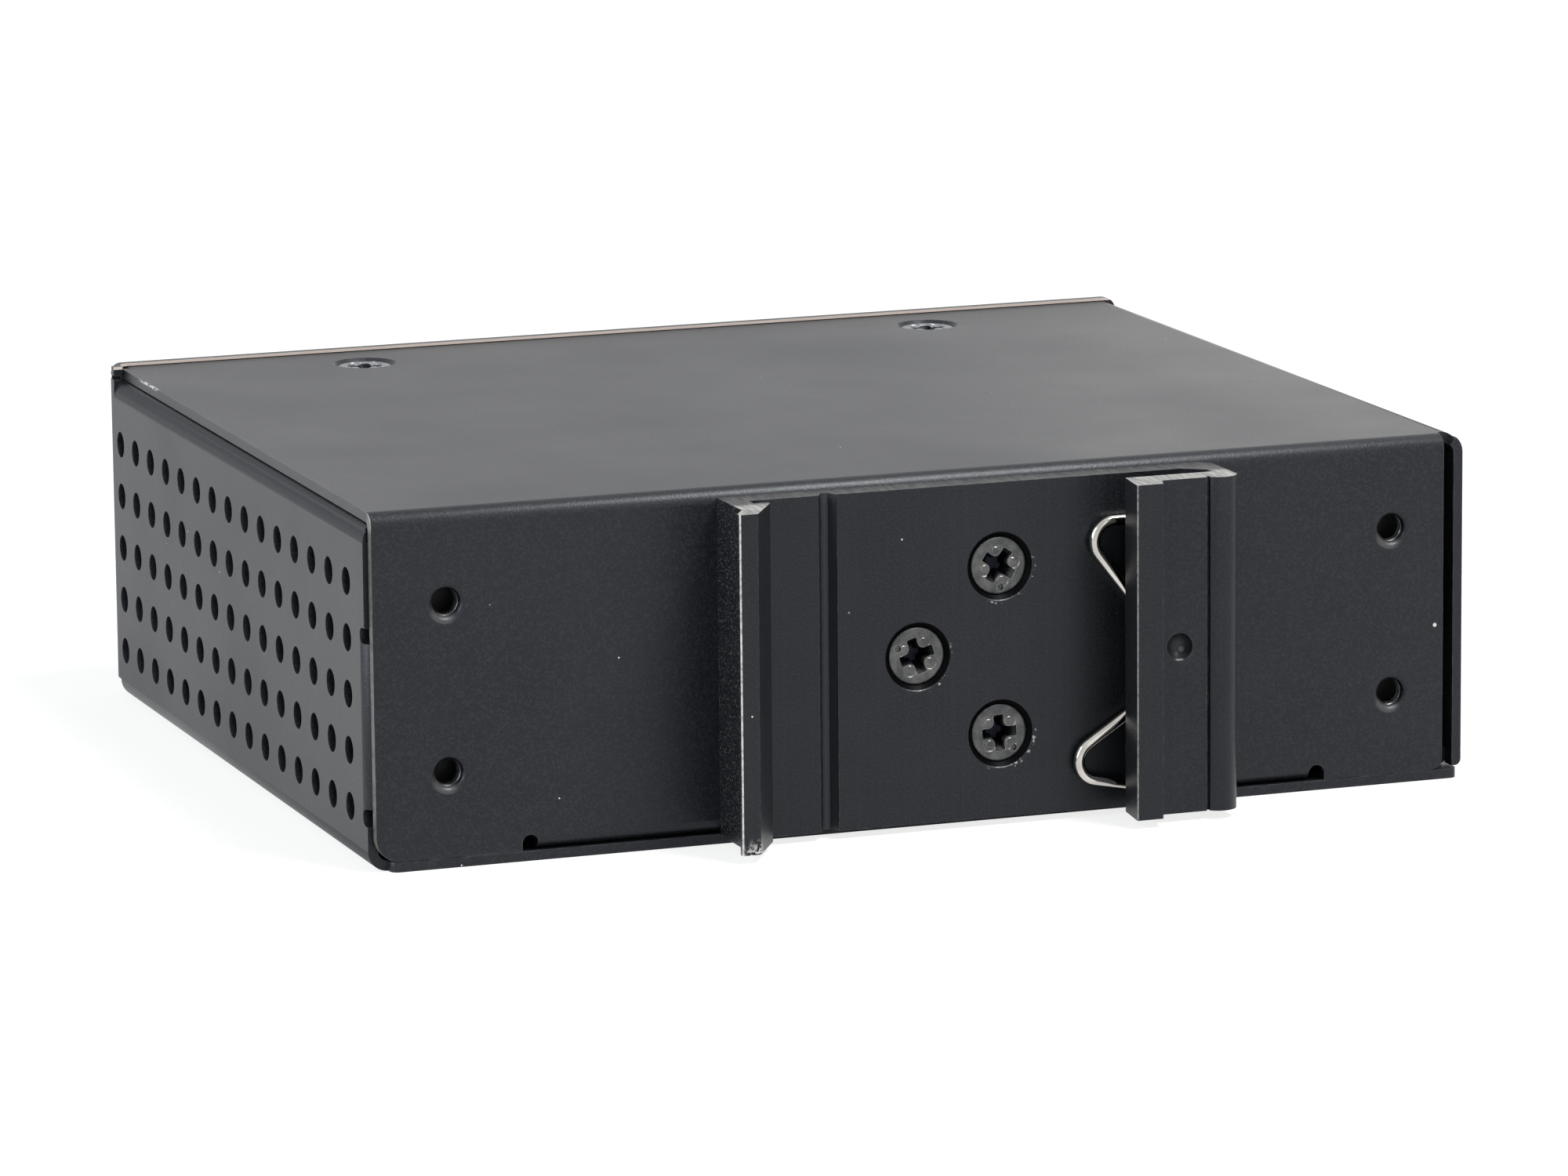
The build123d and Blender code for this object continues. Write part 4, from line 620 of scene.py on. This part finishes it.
def head_outline(length):
    """Flat head with a broken edge, its cone, and the threaded shank."""
    r, core, crest = HEAD_R, 1.22, 1.25
    points = [(0, 0), (r * 0.62, 0.0), (r * 0.66, 0.015), (r - 0.22, 0.01), (r - 0.10, -0.02),
              (r - 0.02, -0.09), (r, -0.2), (crest, -0.2 - (r - crest))]
    z = -0.2 - (r - crest) - 0.1
    while z > -length + SHANK_PITCH:
        points += [(core - 0.12, z - 0.12), (crest, z - 0.25)]
        z -= SHANK_PITCH
    return points + [(core - 0.3, -length), (0, -length)]


def flat_screw(name, length, dimple_angle):
    obj = bpy.data.objects.new(name, lathe(name, head_outline(length), 72))
    bpy.context.scene.collection.objects.link(obj)
    petals = [petal_cutter(math.pi / 4 + k * math.pi / 2) for k in range(4)]
    cut(obj, petals)
    cut(obj, [recess_cutter(), dimple_cutter(dimple_angle)])
    obj.data.materials.clear()
    obj.data.materials.append(MATERIALS["black_screw"])
    shade(obj.data, 32)
    return obj


def place_screw(obj, matrix, node):
    obj.data.transform(matrix)
    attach(obj, "root")
    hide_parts(node)


def make_screws():
    """Each with the turn of its cross and the place of its dimple, in degrees."""
    tip_back = Matrix.Rotation(math.radians(90), 4, "X")
    clip_looks = [("clip_screw_top", 56, -86), ("clip_screw_middle", 18, 157),
                  ("clip_screw_low", 3, -47)]
    for (x, z), (name, turn, dimple) in zip(CLIP_HOLES, clip_looks):
        obj = flat_screw(name, CLIP_SCREW_LONG, math.radians(dimple - turn))
        place = Matrix.Translation(Vector((x, PLATE_Y + HEAD_SUNK_CLIP, z)) * MM) @ tip_back
        place_screw(obj, place @ Matrix.Rotation(math.radians(turn), 4, "Z"), "clip_screws")
    cover_looks = [("cover_screw_left", -18, 52), ("cover_screw_right", -9, 61)]
    for (x, y), (name, turn, dimple) in zip(COVER_HOLES, cover_looks):
        obj = flat_screw(name, COVER_SCREW_LONG, math.radians(dimple - turn))
        place = Matrix.Translation(Vector((x, y, CASE_TOP - HEAD_SUNK_COVER)) * MM)
        place_screw(obj, place @ Matrix.Rotation(math.radians(turn), 4, "Z"), "cover_screws")


# Threads in the open tapped holes
THREAD_PITCH = 0.5
THREAD_WALL = 1.27
THREAD_CREST = 1.10
THREAD_FROM = 0.45
THREAD_TO = 2.0
THREAD_STEPS = 40             # steps in a turn


def thread(name, x, z):
    """A helical ridge standing in from the bore's wall."""
    steps = THREAD_STEPS
    turns = (THREAD_TO - THREAD_FROM) / THREAD_PITCH
    count = int(steps * turns)
    verts, faces = [], []
    for i in range(count + 1):
        a = 2 * math.pi * i / steps
        y = THREAD_FROM + THREAD_PITCH * i / steps
        fade = min(1.0, i / (steps * 0.5), (count - i) / (steps * 0.5))
        crest = THREAD_WALL - (THREAD_WALL - THREAD_CREST) * fade
        for r, dy in ((THREAD_WALL, -0.2), (crest, -0.04), (crest, 0.04), (THREAD_WALL, 0.2)):
            verts.append((x + r * math.cos(a), REAR_Y + y + dy, z + r * math.sin(a)))
    for i in range(count):
        for k in range(4):
            a, b = i * 4 + k, i * 4 + (k + 1) % 4
            faces.append([a, b, b + 4, a + 4])
    faces += [[0, 1, 2, 3], [count * 4 + k for k in (3, 2, 1, 0)]]
    # The thread is coloured with the darkened steel as painted shade.
    obj = piece(name, mesh_from(name, verts, faces, 50), "bare_steel", "thread_in_painted_shade")
    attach(obj, "root")


def make_threads():
    for i, (x, z) in enumerate(OPEN_HOLES):
        thread(f"tapped_thread_{i + 1}", x, z)


# The sheet left at the bottom of the slot beside the front panel's top corner
CORNER_X = -CASE_HALF_W + BEND_OUT
CORNER_Y = REAR_Y + CASE_DEEP - BEND_OUT
WEB_OUT = 1.74
WEB_IN = 0.95
WEB_Z = (30.98, 31.52)
WEB_STEPS = 16


def make_slot_web():
    steps = WEB_STEPS
    ring = []
    for r in (WEB_OUT, WEB_IN):
        arc = [math.pi / 2 + math.pi / 2 * i / steps for i in range(steps + 1)]
        arc = arc if r == WEB_OUT else arc[::-1]
        ring += [(CORNER_X + r * math.cos(a), CORNER_Y + r * math.sin(a)) for a in arc]
    n = len(ring)
    verts = [(x, y, z) for z in WEB_Z for x, y in ring]
    faces = [[i, (i + 1) % n, n + (i + 1) % n, n + i] for i in range(n)]
    half = steps + 1
    for k in range(steps):
        quad = [k, k + 1, n - 2 - k, n - 1 - k]
        faces += [quad, [v + n for v in quad[::-1]]]
    # Painted shade: this is the case's own sheet, coloured with the near-black film so the groove
    # above it reads as shade.
    obj = piece("front_corner_shaded_web", mesh_from("front_corner_shaded_web", verts, faces, 40), "film")
    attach(obj, "root")


# The camera, matched to the photograph: place in millimetres and its three axes
CAMERA_AT = (-253.063, -699.466, 160.271)
CAMERA_RIGHT = (0.93945, -0.34256, -0.0091)
CAMERA_UP = (0.0743, 0.17769, 0.98128)
CAMERA_BACK = (-0.33453, -0.92254, 0.19238)
LENS = 185.807


def make_camera():
    data = bpy.data.cameras.new("camera")
    data.sensor_fit = "HORIZONTAL"
    data.sensor_width = 36.0
    data.lens = LENS
    data.clip_start = 0.01
    data.clip_end = 10.0
    obj = bpy.data.objects.new("camera", data)
    turn = Matrix((CAMERA_RIGHT, CAMERA_UP, CAMERA_BACK)).transposed().to_4x4()
    obj.matrix_world = Matrix.Translation(Vector(CAMERA_AT) * MM) @ turn
    bpy.context.scene.collection.objects.link(obj)
    bpy.context.scene.camera = obj


# Floor, world and lamps
FLOOR_HALF = 3.0
FLOOR_GLOW = 0.80
FLOOR_TONE = 0.20


def shown_ray(nodes, links):
    """1 for camera, glossy and transmission rays."""
    path = nodes.new("ShaderNodeLightPath")
    total = path.outputs["Is Camera Ray"]
    for key in ("Is Glossy Ray", "Is Transmission Ray"):
        node = nodes.new("ShaderNodeMath")
        node.operation = "MAXIMUM"
        links.new(total, node.inputs[0])
        links.new(path.outputs[key], node.inputs[1])
        total = node.outputs[0]
    return total


def make_floor():
    mat = bpy.data.materials.new("floor")
    mat.use_nodes = True
    nodes, links = mat.node_tree.nodes, mat.node_tree.links
    nodes.clear()
    out = nodes.new("ShaderNodeOutputMaterial")
    glow = nodes.new("ShaderNodeEmission")
    glow.inputs["Strength"].default_value = FLOOR_GLOW
    matt = nodes.new("ShaderNodeBsdfDiffuse")
    matt.inputs["Color"].default_value = (FLOOR_TONE,) * 3 + (1,)
    both = nodes.new("ShaderNodeAddShader")
    links.new(glow.outputs[0], both.inputs[0])
    links.new(matt.outputs[0], both.inputs[1])
    plain = nodes.new("ShaderNodeBsdfDiffuse")
    plain.inputs["Color"].default_value = (0.7, 0.7, 0.7, 1)
    mix = nodes.new("ShaderNodeMixShader")
    links.new(shown_ray(nodes, links), mix.inputs[0])
    links.new(plain.outputs[0], mix.inputs[1])
    links.new(both.outputs[0], mix.inputs[2])
    links.new(mix.outputs[0], out.inputs[0])
    h = FLOOR_HALF
    data = bpy.data.meshes.new("floor")
    data.from_pydata([(-h, -h, 0), (h, -h, 0), (h, h, 0), (-h, h, 0)], [], [(0, 1, 2, 3)])
    data.materials.append(mat)
    obj = bpy.data.objects.new("floor", data)
    bpy.context.scene.collection.objects.link(obj)


def make_world():
    world = bpy.data.worlds.new("world")
    bpy.context.scene.world = world
    world.use_nodes = True
    nodes, links = world.node_tree.nodes, world.node_tree.links
    nodes.clear()
    out = nodes.new("ShaderNodeOutputWorld")
    soft = nodes.new("ShaderNodeBackground")
    soft.inputs["Color"].default_value = (0.9, 0.95, 1.0, 1)
    soft.inputs["Strength"].default_value = 0.55
    white = nodes.new("ShaderNodeBackground")
    white.inputs["Color"].default_value = (1, 1, 1, 1)
    white.inputs["Strength"].default_value = 1.0
    mix = nodes.new("ShaderNodeMixShader")
    links.new(shown_ray(nodes, links), mix.inputs[0])
    links.new(soft.outputs[0], mix.inputs[1])
    links.new(white.outputs[0], mix.inputs[2])
    links.new(mix.outputs[0], out.inputs[0])


def softbox(name, at, size, power, colour=(1, 1, 1)):
    data = bpy.data.lights.new(name, "AREA")
    data.shape = "RECTANGLE"
    data.size, data.size_y = size
    data.energy = power
    data.color = colour
    obj = bpy.data.objects.new(name, data)
    obj.location = at
    obj.rotation_mode = "QUATERNION"
    obj.rotation_quaternion = Vector(at).to_track_quat("Z", "Y")
    bpy.context.scene.collection.objects.link(obj)


def make_lights():
    softbox("lamp_over", (0.32, -0.40, 0.86), (0.34, 0.34), 14.2, (1.0, 0.97, 0.93))
    softbox("lamp_left", (-0.8, -0.1, 0.35), (0.6, 0.6), 8.0, (0.95, 0.98, 1.0))
    softbox("lamp_front", (0.25, -0.9, 0.4), (0.6, 0.4), 0.6)
    softbox("lamp_behind", (0.32, 0.50, 0.13), (0.16, 0.10), 0.055, (1.0, 0.98, 0.95))


dress_nodes()
for node in ("cover", "chassis", "rail_clip"):
    soften(node, COAT_ROUND)
make_screws()
make_threads()
make_slot_web()
make_camera()
make_floor()
make_world()
make_lights()

scene = bpy.context.scene
scene.view_settings.view_transform = "Standard"
